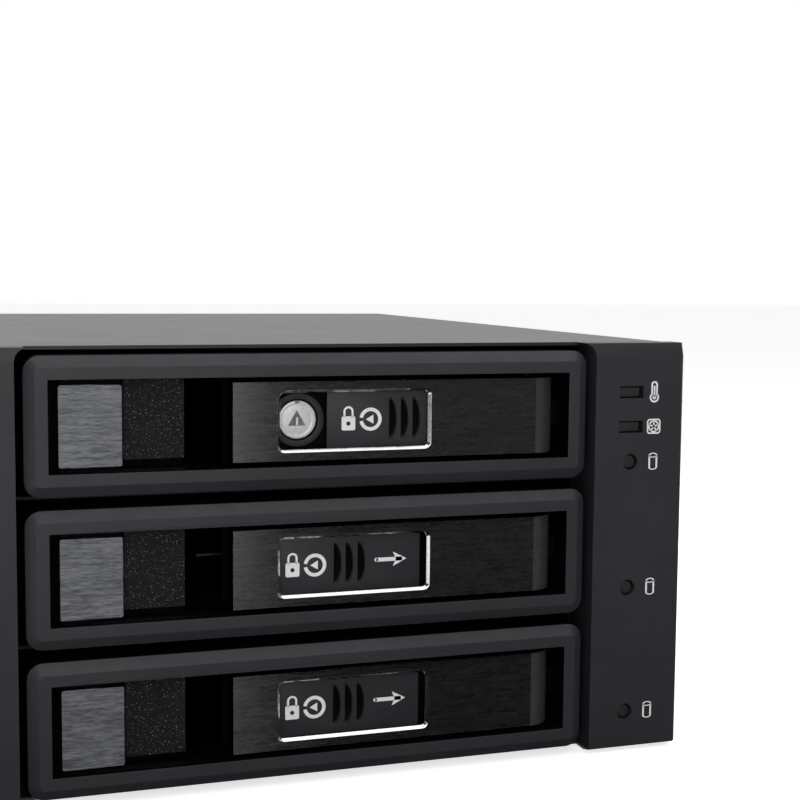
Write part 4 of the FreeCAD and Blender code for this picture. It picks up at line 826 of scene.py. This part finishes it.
def tray_pieces(looks):
    soft = looks.edge_softness
    for number in TRAYS:
        body = f"tray_{number}"
        node = f"tray_bezel_{number}"
        front = softened(node, f"moulded_tray_front_{number}", soft * 0.45)
        dress(front, finish("bezel"), body, "bezel_plastic", node)
        # Painted shade on the inner faces of the front's window, where the recess lies in shade
        paint_shade_inside(front, finish("painted_shade"), edges(node)[0].y + 0.9 * MM, 2 * MM)
        node = f"brushed_cap_{number}"
        cap = softened(node, f"rounded_cap_{number}", soft * 0.8)
        dress(cap, finish("cap"), body, "cap_aluminium", node)
        paint(f"air_filter_{number}", finish("foam"))
        paint(f"tray_carrier_{number}", finish("carrier"))
        # Pins painted near black as shade
        paint(f"lever_pin_{number}", finish("pin"))


def lever_pieces(looks):
    soft = looks.edge_softness
    for number in TRAYS:
        node = f"lever_face_{number}"
        skin = softened(node, f"lever_skin_{number}", soft * 0.35)
        dress(skin, finish("lever"), f"lever_{number}", "lever_aluminium", node)
        # Painted shade: the lever's body, the floor of the cover's channel, made near black where
        # it lies in shade
        paint(f"lever_body_{number}", finish("painted_shade"))
        hinge_wrap(number)
        slot_rim(number)


def hinge_wrap(number):
    """The lever's metal face carried round its hinge end, in a darker copy of its metal as painted
    shade.
    """
    low, high = edges(f"lever_face_{number}")
    pin = middle(f"lever_pin_{number}")
    radius = pin.y - low.y
    deselect()
    bpy.ops.mesh.primitive_cylinder_add(vertices=96, radius=radius + SKIN_LIFT,
                                        depth=high.z - low.z, end_fill_type="NOTHING",
                                        location=pin)
    piece = settle(bpy.context.object, f"hinge_wrap_{number}")

    def outside(face):
        turn = math.degrees(math.atan2(face.center.y - pin.y, face.center.x - pin.x))
        return not SKIN_FROM < turn < SKIN_TO

    choose(piece, outside)
    bpy.ops.mesh.delete(type="FACE")
    leave_edit()
    apply_modifier(piece, "SOLIDIFY", thickness=0.25 * MM, offset=-1)
    smooth(piece)
    dress(piece, finish("hinge"), f"lever_{number}", "lever_aluminium")


def slot_rim(number):
    """Bright chamfer round the lever's slot."""
    face = edges(f"lever_face_{number}")[0]
    z = middle(f"lever_face_{number}").z
    left = face.x + SLOT_START
    piece = rounded_plate(left + SLOT_LENGTH / 2, face.y - 0.01 * MM, z,
                          SLOT_LENGTH + 2 * SLOT_CHAMFER, SLOT_HEIGHT + 2 * SLOT_CHAMFER,
                          SLOT_RADIUS + SLOT_CHAMFER)
    edit_all(piece)
    for across, down in ((0.1, 0.03), (0.8, 0.84), (0.1, 0.13)):
        bpy.ops.mesh.inset(thickness=SLOT_CHAMFER * across, depth=-SLOT_CHAMFER * down)
    bpy.ops.mesh.delete(type="FACE")
    leave_edit()
    apply_modifier(piece, "SOLIDIFY", thickness=0.06 * MM, offset=0)
    smooth(piece, 30)
    apply_modifier(piece, "WEIGHTED_NORMAL", weight=100, keep_sharp=True)
    piece.name = f"slot_rim_{number}"
    dress(piece, finish("bright"), f"lever_{number}", "lever_aluminium")


def subtract(piece, tool):
    """Cut a tool out of a piece and delete the tool."""
    apply_modifier(piece, "BOOLEAN", operation="DIFFERENCE", object=tool, solver="EXACT")
    discard(tool)


def finger_scoop(x, y, z, width, height, depth):
    """Tool for one groove: half an ellipsoid, straight at its left side."""
    deselect()
    bpy.ops.mesh.primitive_uv_sphere_add(segments=48, ring_count=32, radius=1, location=(x, y, z))
    tool = bpy.context.object
    tool.scale = (width, depth, height / 2)
    settle(tool, "Scoop")
    edit_all(tool)
    bpy.ops.mesh.bisect(plane_co=(x, y, z), plane_no=(1, 0, 0), use_fill=True, clear_inner=True,
                        threshold=CUT)
    leave_edit()
    return tool


def cover_pieces():
    first = slide_cover(1)
    for number in TRAYS:
        low = edges(f"slide_cover_{number}")[0]
        piece = first if number == 1 else moved_copy(first, low - edges("slide_cover_1")[0])
        rename(piece, f"scooped_cover_{number}")
        dress(piece, finish("cover"), f"cover_{number}", "cover_plastic", f"slide_cover_{number}")
        cover_signs(number)


def slide_cover(number):
    """Cover plate with soft edges and three scooped grooves."""
    low, high = edges(f"slide_cover_{number}")
    centre = (low + high) / 2
    piece = block(centre, high - low, "Cover")
    apply_modifier(piece, "BEVEL", width=0.12 * MM, segments=3)
    for groove in range(GROOVES):
        start = low.x + GROOVE_START + GROOVE_PITCH * groove
        subtract(piece, finger_scoop(start, low.y, centre.z,
                                     GROOVE_WIDTH, GROOVE_HEIGHT, GROOVE_DEPTH))
    # Painted shade on the groove faces deeper than 0.45 mm; the shallow right side keeps the
    # cover's plastic
    paint_shade_inside(piece, finish("painted_shade"), low.y + 0.45 * MM)
    smooth(piece, 30)
    return piece


def moved_copy(piece, shift):
    """A copy with its own mesh, moved as a whole."""
    pick(piece)
    bpy.ops.object.duplicate()
    copy = bpy.context.object
    copy.location = shift
    return settle(copy, piece.name + "_copy")


def cover_signs(number):
    """Padlock, lock ring and arrow printed on a cover."""
    low = edges(f"slide_cover_{number}")[0]
    face = low.y - PRINT_LIFT
    z = middle(f"slide_cover_{number}").z
    padlock = low.x + 4.3 * MM
    parts = padlock_icon(padlock, face, z - 0.75 * MM, 2.75 * MM)
    parts += lock_turn_icon(low.x + 8.75 * MM, face, z - 0.05 * MM, 2.25 * MM)
    parts += arrow_icon(low.x + 24.1 * MM, face, z + 0.3 * MM, 6.7 * MM)
    dress(join(parts, f"cover_signs_{number}"), finish("ink"), f"cover_{number}",
          "cover_plastic")
    keyhole = disc(padlock, low.y - KEYHOLE_LIFT, z - 0.8 * MM, 0.42 * MM, 24)
    keyhole.name = f"padlock_keyhole_{number}"
    dress(keyhole, finish("cover"), f"cover_{number}", "cover_plastic")


def lock_pieces():
    first = lock_face(1)
    collar = lock_collar(1)
    home = edges("lock_core_1")[0]
    for number in TRAYS:
        shift = edges(f"lock_core_{number}")[0] - home
        piece = first if number == 1 else moved_copy(first, shift)
        rename(piece, f"polished_lock_{number}")
        dress(piece, finish("lock"), f"lock_{number}", "lock_metal", f"lock_core_{number}")
        piece = collar if number == 1 else moved_copy(collar, shift)
        rename(piece, f"lock_collar_{number}")
        dress(piece, finish("collar"), f"lever_{number}", "lever_plastic")


def lock_face(number):
    """Turned lock core: raised rim round a sunk face with a triangular key recess, and a notch."""
    low, high = edges(f"lock_core_{number}")
    centre = (low + high) / 2
    radius = (high.x - low.x) / 2
    piece = rod(centre, radius, high.y - low.y, "Lock")
    choose(piece, lambda face: face.normal.y < SQUARE_TO_FRONT)
    for thickness, depth in ((0.45, 0.0), (0.04, -0.8), (0.3, 0.0),
                             (0.05, 0.3), (0.6, 0.05), (0.6, 0.03)):
        bpy.ops.mesh.inset(thickness=thickness * MM, depth=depth * MM)
    leave_edit()

    def at_rim(edge):
        ends = [piece.data.vertices[end].co for end in edge.vertices]
        return all(abs(end.y - low.y) < SAME and (end - centre).xz.length > radius - 0.1 * MM
                   for end in ends)

    choose(piece, at_rim, "edges")
    bpy.ops.mesh.bevel(offset=0.18 * MM, segments=4)
    leave_edit()
    key = triangle(centre.x, low.y, centre.z - 0.2 * MM, KEY_SIDE, 0)
    edit_all(key)
    bpy.ops.mesh.extrude_region_move(TRANSFORM_OT_translate={"value": (0, KEY_DEPTH, 0)})
    bpy.ops.mesh.select_all(action="SELECT")
    bpy.ops.mesh.normals_make_consistent(inside=False)
    leave_edit()
    subtract(piece, key)
    notch = block((centre.x, low.y, centre.z + radius - 0.2 * MM),
                  (0.9 * MM, 2.2 * MM, 0.9 * MM), "Block")
    subtract(piece, notch)
    peg = block((centre.x + 0.05 * MM, low.y + 1.0 * MM, centre.z - 0.35 * MM),
                (0.45 * MM, 1.1 * MM, 1.5 * MM), "Block")
    piece = join([piece, peg], "Lock")
    # Painted shade on the faces deep in the key recess
    paint_shade_inside(piece, finish("keyway"), low.y + 0.95 * MM)
    smooth(piece, 25)
    return piece


def lock_collar(number):
    """Ring round the lock on the floor of the cover's channel."""
    centre = middle(f"lock_core_{number}")
    front = edges(f"lock_core_{number}")[0].y
    piece = ring(centre.x, front - 0.28 * MM, centre.z, COLLAR_RADIUS, COLLAR_BAND, sides=96)
    apply_modifier(piece, "SOLIDIFY", thickness=0.3 * MM, offset=-1)
    apply_modifier(piece, "BEVEL", width=0.12 * MM, segments=3, limit_method="ANGLE")
    smooth(piece)
    return piece


def backplane_pieces():
    paint("backplane_board", finish("board"))
    for number in TRAYS:
        paint(f"drive_socket_{number}", finish("socket"))
        paint(f"data_port_{number}", finish("socket"))
    for end in ("lower", "upper"):
        paint(f"power_port_{end}", finish("port"))


def fan_pieces():
    paint("fan_frame", finish("fan"))
    dress(fan_wheel(), finish("fan"), "rotor", "fan_plastic", "fan_rotor")
    paint("fan_guard", finish("guard"))


def fan_wheel():
    """Fan wheel: rounded hub and seven wide blades that twist towards their tips."""
    low, high = edges("fan_rotor")
    centre = (low + high) / 2
    reach = (high.z - low.z) / 2
    hub = rod(centre, HUB_RADIUS, high.y - low.y, "Hub")
    corners = hub.data.vertices
    choose(hub, lambda edge: all(abs(corners[end].co.y - low.y) < SAME for end in edge.vertices),
           "edges")
    bpy.ops.mesh.bevel(offset=1.6 * MM, segments=5)
    leave_edit()
    smooth(hub, 40)
    blade = fan_blade(centre, reach)
    blades = []
    for turn in range(BLADES):
        pick(blade)
        bpy.ops.object.duplicate()
        copy = bpy.context.object
        edit_all(copy)
        bpy.ops.transform.rotate(value=math.radians(turn * 360 / BLADES), orient_axis="Y",
                                 center_override=centre)
        leave_edit()
        blades.append(copy)
    discard(blade)
    return join([hub, *blades], "fan_wheel")


def fan_blade(centre, reach):
    """One blade along +X, twisted from root to tip and trimmed to the wheel's round."""
    root, tip = HUB_RADIUS - 1 * MM, reach + 1 * MM
    deselect()
    bpy.ops.mesh.primitive_grid_add(x_subdivisions=BLADE_STATIONS, y_subdivisions=10, size=1,
                                    location=(centre.x + (root + tip) / 2, centre.y, centre.z))
    blade = bpy.context.object
    blade.scale = (tip - root, 1, 1)
    settle(blade, "Blade")
    for station in range(BLADE_STATIONS + 1):
        share = station / BLADE_STATIONS
        x = centre.x + root + (tip - root) * share
        spine = (x, centre.y, centre.z)
        chord = ROOT_CHORD + (TIP_CHORD - ROOT_CHORD) * share
        pitch = ROOT_PITCH + (TIP_PITCH - ROOT_PITCH) * share
        choose(blade, lambda vertex: abs(vertex.co.x - x) < NEAR, "vertices")
        bpy.ops.transform.resize(value=(1, chord, 1), center_override=spine)
        bpy.ops.transform.rotate(value=pitch, orient_axis="X", center_override=spine)
        leave_edit()
    apply_modifier(blade, "SOLIDIFY", thickness=BLADE_THICKNESS, offset=0)
    trim = rod(centre, reach - 0.05 * MM, 60 * MM, "Trim")
    apply_modifier(blade, "BOOLEAN", operation="INTERSECT", object=trim, solver="EXACT")
    discard(trim)
    smooth(blade, 40)
    return blade


def fastener_pieces():
    for node in ("fan_screws", "case_screws", "backplane_screws"):
        paint(node, finish("screw"))


# ---- stage ----

def soft_light(name, place, target, size, radiance):
    """A flat soft lamp of a given brightness, aimed at a point."""
    width, height = size
    deselect()
    bpy.ops.object.light_add(type="AREA", location=place)
    lamp = bpy.context.object
    lamp.name = name
    lamp.data.shape = "RECTANGLE"
    lamp.data.size = width
    lamp.data.size_y = height
    lamp.data.energy = radiance * math.pi * width * height
    aim = Vector(target) - Vector(place)
    lamp.rotation_euler = aim.to_track_quat("-Z", "Y").to_euler()
    lamp.visible_camera = False


def pale_world(looks):
    """White where the camera looks past the object, and shaped studio light for the rest.

    Shiny and clear surfaces see that white as well, where it lies behind the object.
    """
    world = bpy.data.worlds.new("Pale studio")
    bpy.context.scene.world = world
    world.use_nodes = True
    tree = world.node_tree
    rays = tree.nodes.new("ShaderNodeLightPath").outputs
    place = tree.nodes.new("ShaderNodeTexCoord")
    split = add_node(tree, "ShaderNodeSeparateXYZ", {"Vector": place.outputs["Generated"]})
    ramp = add_node(tree, "ShaderNodeValToRGB",
                    {"Fac": spread(tree, split.outputs["Y"], 0, 1, -1, 1)})
    for position, level in ((0.0, looks.front_fill), (0.3, looks.front_fill),
                            (0.47, looks.side_fill), (0.6, looks.side_fill),
                            (0.78, looks.back_fill)):
        stop = ramp.color_ramp.elements.new(position)
        stop.color = (level, level, level, 1)
    ramp.color_ramp.elements.remove(ramp.color_ramp.elements[0])
    ramp.color_ramp.elements[-1].color = (*(looks.back_fill,) * 3, 1)
    shaped = tree.nodes.new("ShaderNodeVectorMath")
    shaped.operation = "SCALE"
    feed(tree, shaped, {
        "Vector": ramp.outputs["Color"],
        "Scale": spread(tree, split.outputs["X"], 0.85, 1.35, 0.05, 0.5),
    })
    shiny = calculate(tree, "MAXIMUM", rays["Is Glossy Ray"], rays["Is Transmission Ray"])
    behind = calculate(tree, "MULTIPLY", shiny, spread(tree, split.outputs["Y"], 0, 1, 0.5, 0.7))
    seen = calculate(tree, "MAXIMUM", rays["Is Camera Ray"], behind)
    feed(tree, tree.nodes["Background"],
         {"Color": blend(tree, seen, shaped.outputs["Vector"], (1, 1, 1, 1))})


def bare_material(name):
    """A material whose tree holds only its output."""
    material = bpy.data.materials.new(name)
    material.use_nodes = True
    tree = material.node_tree
    tree.nodes.remove(tree.nodes["Principled BSDF"])
    return material, tree, tree.nodes["Material Output"]


def pale_floor(looks):
    """Floor that looks nearly white and keeps the object's shadow."""
    deselect()
    bpy.ops.mesh.primitive_plane_add(size=FLOOR_SIZE, location=(0, 0, -FLOOR_DROP))
    floor = bpy.context.object
    floor.name = "studio_floor"
    material, tree, output = bare_material("Studio floor")
    plain = add_node(tree, "ShaderNodeBsdfDiffuse", {"Color": (*looks.floor_colour, 1)})
    glow = add_node(tree, "ShaderNodeEmission", {"Strength": looks.floor_glow})
    rays = tree.nodes.new("ShaderNodeLightPath").outputs
    seen = calculate(tree, "MAXIMUM", rays["Is Camera Ray"], rays["Is Glossy Ray"])
    seen = calculate(tree, "MAXIMUM", seen, rays["Is Transmission Ray"])
    lifted = tree.nodes.new("ShaderNodeAddShader")
    tree.links.new(plain.outputs[0], lifted.inputs[0])
    tree.links.new(glow.outputs[0], lifted.inputs[1])
    mix = tree.nodes.new("ShaderNodeMixShader")
    for place, source in zip(mix.inputs, (seen, plain.outputs[0], lifted.outputs[0])):
        tree.links.new(source, place)
    feed(tree, output, {"Surface": mix.outputs["Shader"]})
    floor.data.materials.append(material)


def reflector(name, low, high, height, level):
    """Card that lies on the floor and is seen only in reflections."""
    deselect()
    bpy.ops.mesh.primitive_plane_add(
        size=1, location=((low[0] + high[0]) / 2, (low[1] + high[1]) / 2, height))
    card = bpy.context.object
    card.scale = (high[0] - low[0], high[1] - low[1], 1)
    settle(card, name)
    material, tree, output = bare_material(name)
    glow = add_node(tree, "ShaderNodeEmission", {"Color": (level, level, level, 1)})
    feed(tree, output, {"Surface": glow.outputs[0]})
    card.data.materials.append(material)
    card.visible_camera = False
    card.visible_shadow = False
    card.visible_diffuse = False
    card.visible_transmission = False


def studio_camera(looks):
    """Camera in front and to the left of the cage, a little above it."""
    data = bpy.data.cameras.new("Studio camera")
    camera = bpy.data.objects.new("Studio camera", data)
    bpy.context.scene.collection.objects.link(camera)
    camera.location = (CAMERA_X, FRONT - CAMERA_DISTANCE, CAMERA_Z)
    heading = Matrix.Rotation(CAMERA_HEADING, 4, "Z")
    tilt = Matrix.Rotation(CAMERA_TILT, 4, "X")
    roll = Matrix.Rotation(looks.camera_roll, 4, "Z")
    camera.rotation_euler = (heading @ tilt @ roll).to_euler()
    data.lens = CAMERA_LENS
    data.sensor_width = 36
    data.clip_start = 0.01
    bpy.context.scene.camera = camera


def stage_pieces(looks):
    pale_floor(looks)
    pale_world(looks)
    black = 0.005
    for name, low, high, height, level in (
            ("black_card", (-1.2, FRONT - 1.2), (1.2, FRONT - 0.002), 0.0005, black),
            ("side_card", (-1.2, FRONT - 0.002), (0.4, FRONT + 0.8), 0.0005, black),
            ("bounce_card", (-0.45, FRONT - 0.35), (-0.09, FRONT - 0.04), 0.001,
             looks.bounce_light)):
        reflector(name, low, high, height, level)
    for name, place, target, size, radiance in (
            ("front_panel", (-0.166, FRONT - 0.5, 0.28), (-0.166, FRONT, 0.28),
             (0.508, 0.55), looks.panel_light),
            ("right_panel", (0.578, FRONT - 0.46, 0.28), (0.05, FRONT, 0.28),
             (0.4, 0.55), looks.right_light),
            ("edge_panel", (0.42, FRONT + 0.22, 0.13), (0.07, FRONT, 0.06),
             (0.25, 0.25), looks.edge_light),
            ("top_panel", (0.1, FRONT - 0.2, 0.75), (0.1, FRONT - 0.2, 0),
             (1.3, 0.7), looks.top_light)):
        soft_light(name, place, target, size, radiance)
    bpy.context.scene.view_settings.view_transform = "Standard"
    studio_camera(looks)


# ---- settings, operators and panel ----

class CageLooks(bpy.types.PropertyGroup):
    """Sizes, colours and lights that a user would change"""

    edge_softness: bpy.props.FloatProperty(
        name="Edge softness", description="Radius on moulded edges",
        unit="LENGTH", default=0.3 * MM, min=0.05 * MM, max=0.6 * MM, precision=5)
    plastic_colour: bpy.props.FloatVectorProperty(
        name="Plastic", description="Colour of the mouldings",
        subtype="COLOR", size=3, min=0, max=1, default=(0.029, 0.029, 0.036))
    steel_colour: bpy.props.FloatVectorProperty(
        name="Steel paint", description="Colour of the case's powder coat",
        subtype="COLOR", size=3, min=0, max=1, default=(0.028, 0.028, 0.029))
    lever_colour: bpy.props.FloatVectorProperty(
        name="Lever", description="Colour of the levers' anodising",
        subtype="COLOR", size=3, min=0, max=1, default=(0.17, 0.172, 0.178))
    cap_colour: bpy.props.FloatVectorProperty(
        name="Cap", description="Colour of the caps' anodising",
        subtype="COLOR", size=3, min=0, max=1, default=(0.2, 0.207, 0.225))
    icon_colour: bpy.props.FloatVectorProperty(
        name="Icons", description="Colour of the printed signs",
        subtype="COLOR", size=3, min=0, max=1, default=(0.96, 0.97, 0.98))
    floor_colour: bpy.props.FloatVectorProperty(
        name="Floor", description="Colour of the studio floor",
        subtype="COLOR", size=3, min=0, max=1, default=(0.8, 0.8, 0.8))
    cover_colour: bpy.props.FloatVectorProperty(
        name="Cover", description="Colour of the sliding covers",
        subtype="COLOR", size=3, min=0, max=1, default=(0.027, 0.027, 0.033))
    floor_glow: bpy.props.FloatProperty(
        name="Floor lift",
        description="Brightness added to the floor as seen, also in reflections",
        default=0.7, min=0)
    front_fill: bpy.props.FloatProperty(
        name="Front fill", description="Light from the room in front",
        default=0.05, min=0)
    side_fill: bpy.props.FloatProperty(
        name="Side fill", description="Light from the room's sides",
        default=0.06, min=0)
    back_fill: bpy.props.FloatProperty(
        name="Back fill", description="Light from the room behind",
        default=1.0, min=0)
    panel_light: bpy.props.FloatProperty(
        name="Front panel", description="Brightness of the soft panel in front",
        default=1.4, min=0)
    right_light: bpy.props.FloatProperty(
        name="Right panel", description="Brightness of the soft panel at the right",
        default=0.32, min=0)
    edge_light: bpy.props.FloatProperty(
        name="Edge panel", description="Brightness of the panel behind at the right",
        default=4.0, min=0)
    top_light: bpy.props.FloatProperty(
        name="Top panel", description="Brightness of the soft panel overhead",
        default=1.25, min=0)
    bounce_light: bpy.props.FloatProperty(
        name="Bounce card", description="Brightness of the card on the floor",
        default=0.9, min=0)
    camera_roll: bpy.props.FloatProperty(
        name="Camera roll", description="Tilt of the camera about its line of sight",
        subtype="ANGLE", default=math.radians(0.52))


class CAGE_OT_finishes(bpy.types.Operator):
    """Make every material from the colours in the settings"""
    bl_idname = "cage.finishes"
    bl_label = "Mix finishes"

    def execute(self, context):
        mix_finishes(context.scene.cage_looks)
        return {"FINISHED"}


class CAGE_OT_case(bpy.types.Operator):
    """Round and paint the steel shell, the rear panel, the walls and the shelves"""
    bl_idname = "cage.case"
    bl_label = "Dress the case"

    def execute(self, context):
        case_pieces()
        return {"FINISHED"}


class CAGE_OT_pillars(bpy.types.Operator):
    """Round the pillars' edges and fit the lamps' light guides"""
    bl_idname = "cage.pillars"
    bl_label = "Mould the pillars"

    def execute(self, context):
        pillar_pieces(context.scene.cage_looks)
        return {"FINISHED"}


class CAGE_OT_lamp_icons(bpy.types.Operator):
    """Print the signs beside the lamps"""
    bl_idname = "cage.lamp_icons"
    bl_label = "Print the lamp signs"

    def execute(self, context):
        lamp_icons()
        return {"FINISHED"}


class CAGE_OT_trays(bpy.types.Operator):
    """Round the tray fronts and fit their caps and filters"""
    bl_idname = "cage.trays"
    bl_label = "Mould the trays"

    def execute(self, context):
        tray_pieces(context.scene.cage_looks)
        return {"FINISHED"}


class CAGE_OT_levers(bpy.types.Operator):
    """Skin the levers and edge their slots"""
    bl_idname = "cage.levers"
    bl_label = "Make the levers"

    def execute(self, context):
        lever_pieces(context.scene.cage_looks)
        return {"FINISHED"}


class CAGE_OT_covers(bpy.types.Operator):
    """Cut the sliding covers' grooves and print their signs"""
    bl_idname = "cage.covers"
    bl_label = "Make the covers"

    def execute(self, context):
        cover_pieces()
        return {"FINISHED"}


class CAGE_OT_locks(bpy.types.Operator):
    """Turn the lock cores and set their collars"""
    bl_idname = "cage.locks"
    bl_label = "Polish the locks"

    def execute(self, context):
        lock_pieces()
        return {"FINISHED"}


class CAGE_OT_backplane(bpy.types.Operator):
    """Finish the board, its sockets and its ports"""
    bl_idname = "cage.backplane"
    bl_label = "Dress the backplane"

    def execute(self, context):
        backplane_pieces()
        return {"FINISHED"}


class CAGE_OT_fan(bpy.types.Operator):
    """Model the fan wheel and finish the frame and the guard"""
    bl_idname = "cage.fan"
    bl_label = "Dress the fan"

    def execute(self, context):
        fan_pieces()
        return {"FINISHED"}


class CAGE_OT_fasteners(bpy.types.Operator):
    """Finish the screws"""
    bl_idname = "cage.fasteners"
    bl_label = "Dress the screws"

    def execute(self, context):
        fastener_pieces()
        return {"FINISHED"}


class CAGE_OT_stage(bpy.types.Operator):
    """Add the floor, the lights and the camera"""
    bl_idname = "cage.stage"
    bl_label = "Set the stage"

    def execute(self, context):
        stage_pieces(context.scene.cage_looks)
        return {"FINISHED"}


OPERATORS = (CAGE_OT_finishes, CAGE_OT_case, CAGE_OT_pillars, CAGE_OT_lamp_icons,
             CAGE_OT_trays, CAGE_OT_levers, CAGE_OT_covers, CAGE_OT_locks,
             CAGE_OT_backplane, CAGE_OT_fan, CAGE_OT_fasteners, CAGE_OT_stage)


class CAGE_PT_steps(bpy.types.Panel):
    """Lists the build's settings and steps"""
    bl_label = "Drive cage"
    bl_idname = "CAGE_PT_steps"
    bl_space_type = "VIEW_3D"
    bl_region_type = "UI"
    bl_category = "Drive cage"

    def draw(self, context):
        for name in CageLooks.__annotations__:
            self.layout.prop(context.scene.cage_looks, name)
        for step in OPERATORS:
            self.layout.operator(step.bl_idname)


CLASSES = (CageLooks, *OPERATORS, CAGE_PT_steps)


def register():
    for each in CLASSES:
        bpy.utils.register_class(each)
    bpy.types.Scene.cage_looks = bpy.props.PointerProperty(type=CageLooks)


def unregister():
    del bpy.types.Scene.cage_looks
    for each in reversed(CLASSES):
        bpy.utils.unregister_class(each)


def main():
    register()
    bpy.ops.cage.finishes()
    bpy.ops.cage.case()
    bpy.ops.cage.pillars()
    bpy.ops.cage.lamp_icons()
    bpy.ops.cage.trays()
    bpy.ops.cage.levers()
    bpy.ops.cage.covers()
    bpy.ops.cage.locks()
    bpy.ops.cage.backplane()
    bpy.ops.cage.fan()
    bpy.ops.cage.fasteners()
    bpy.ops.cage.stage()


if __name__ == "__main__":
    main()
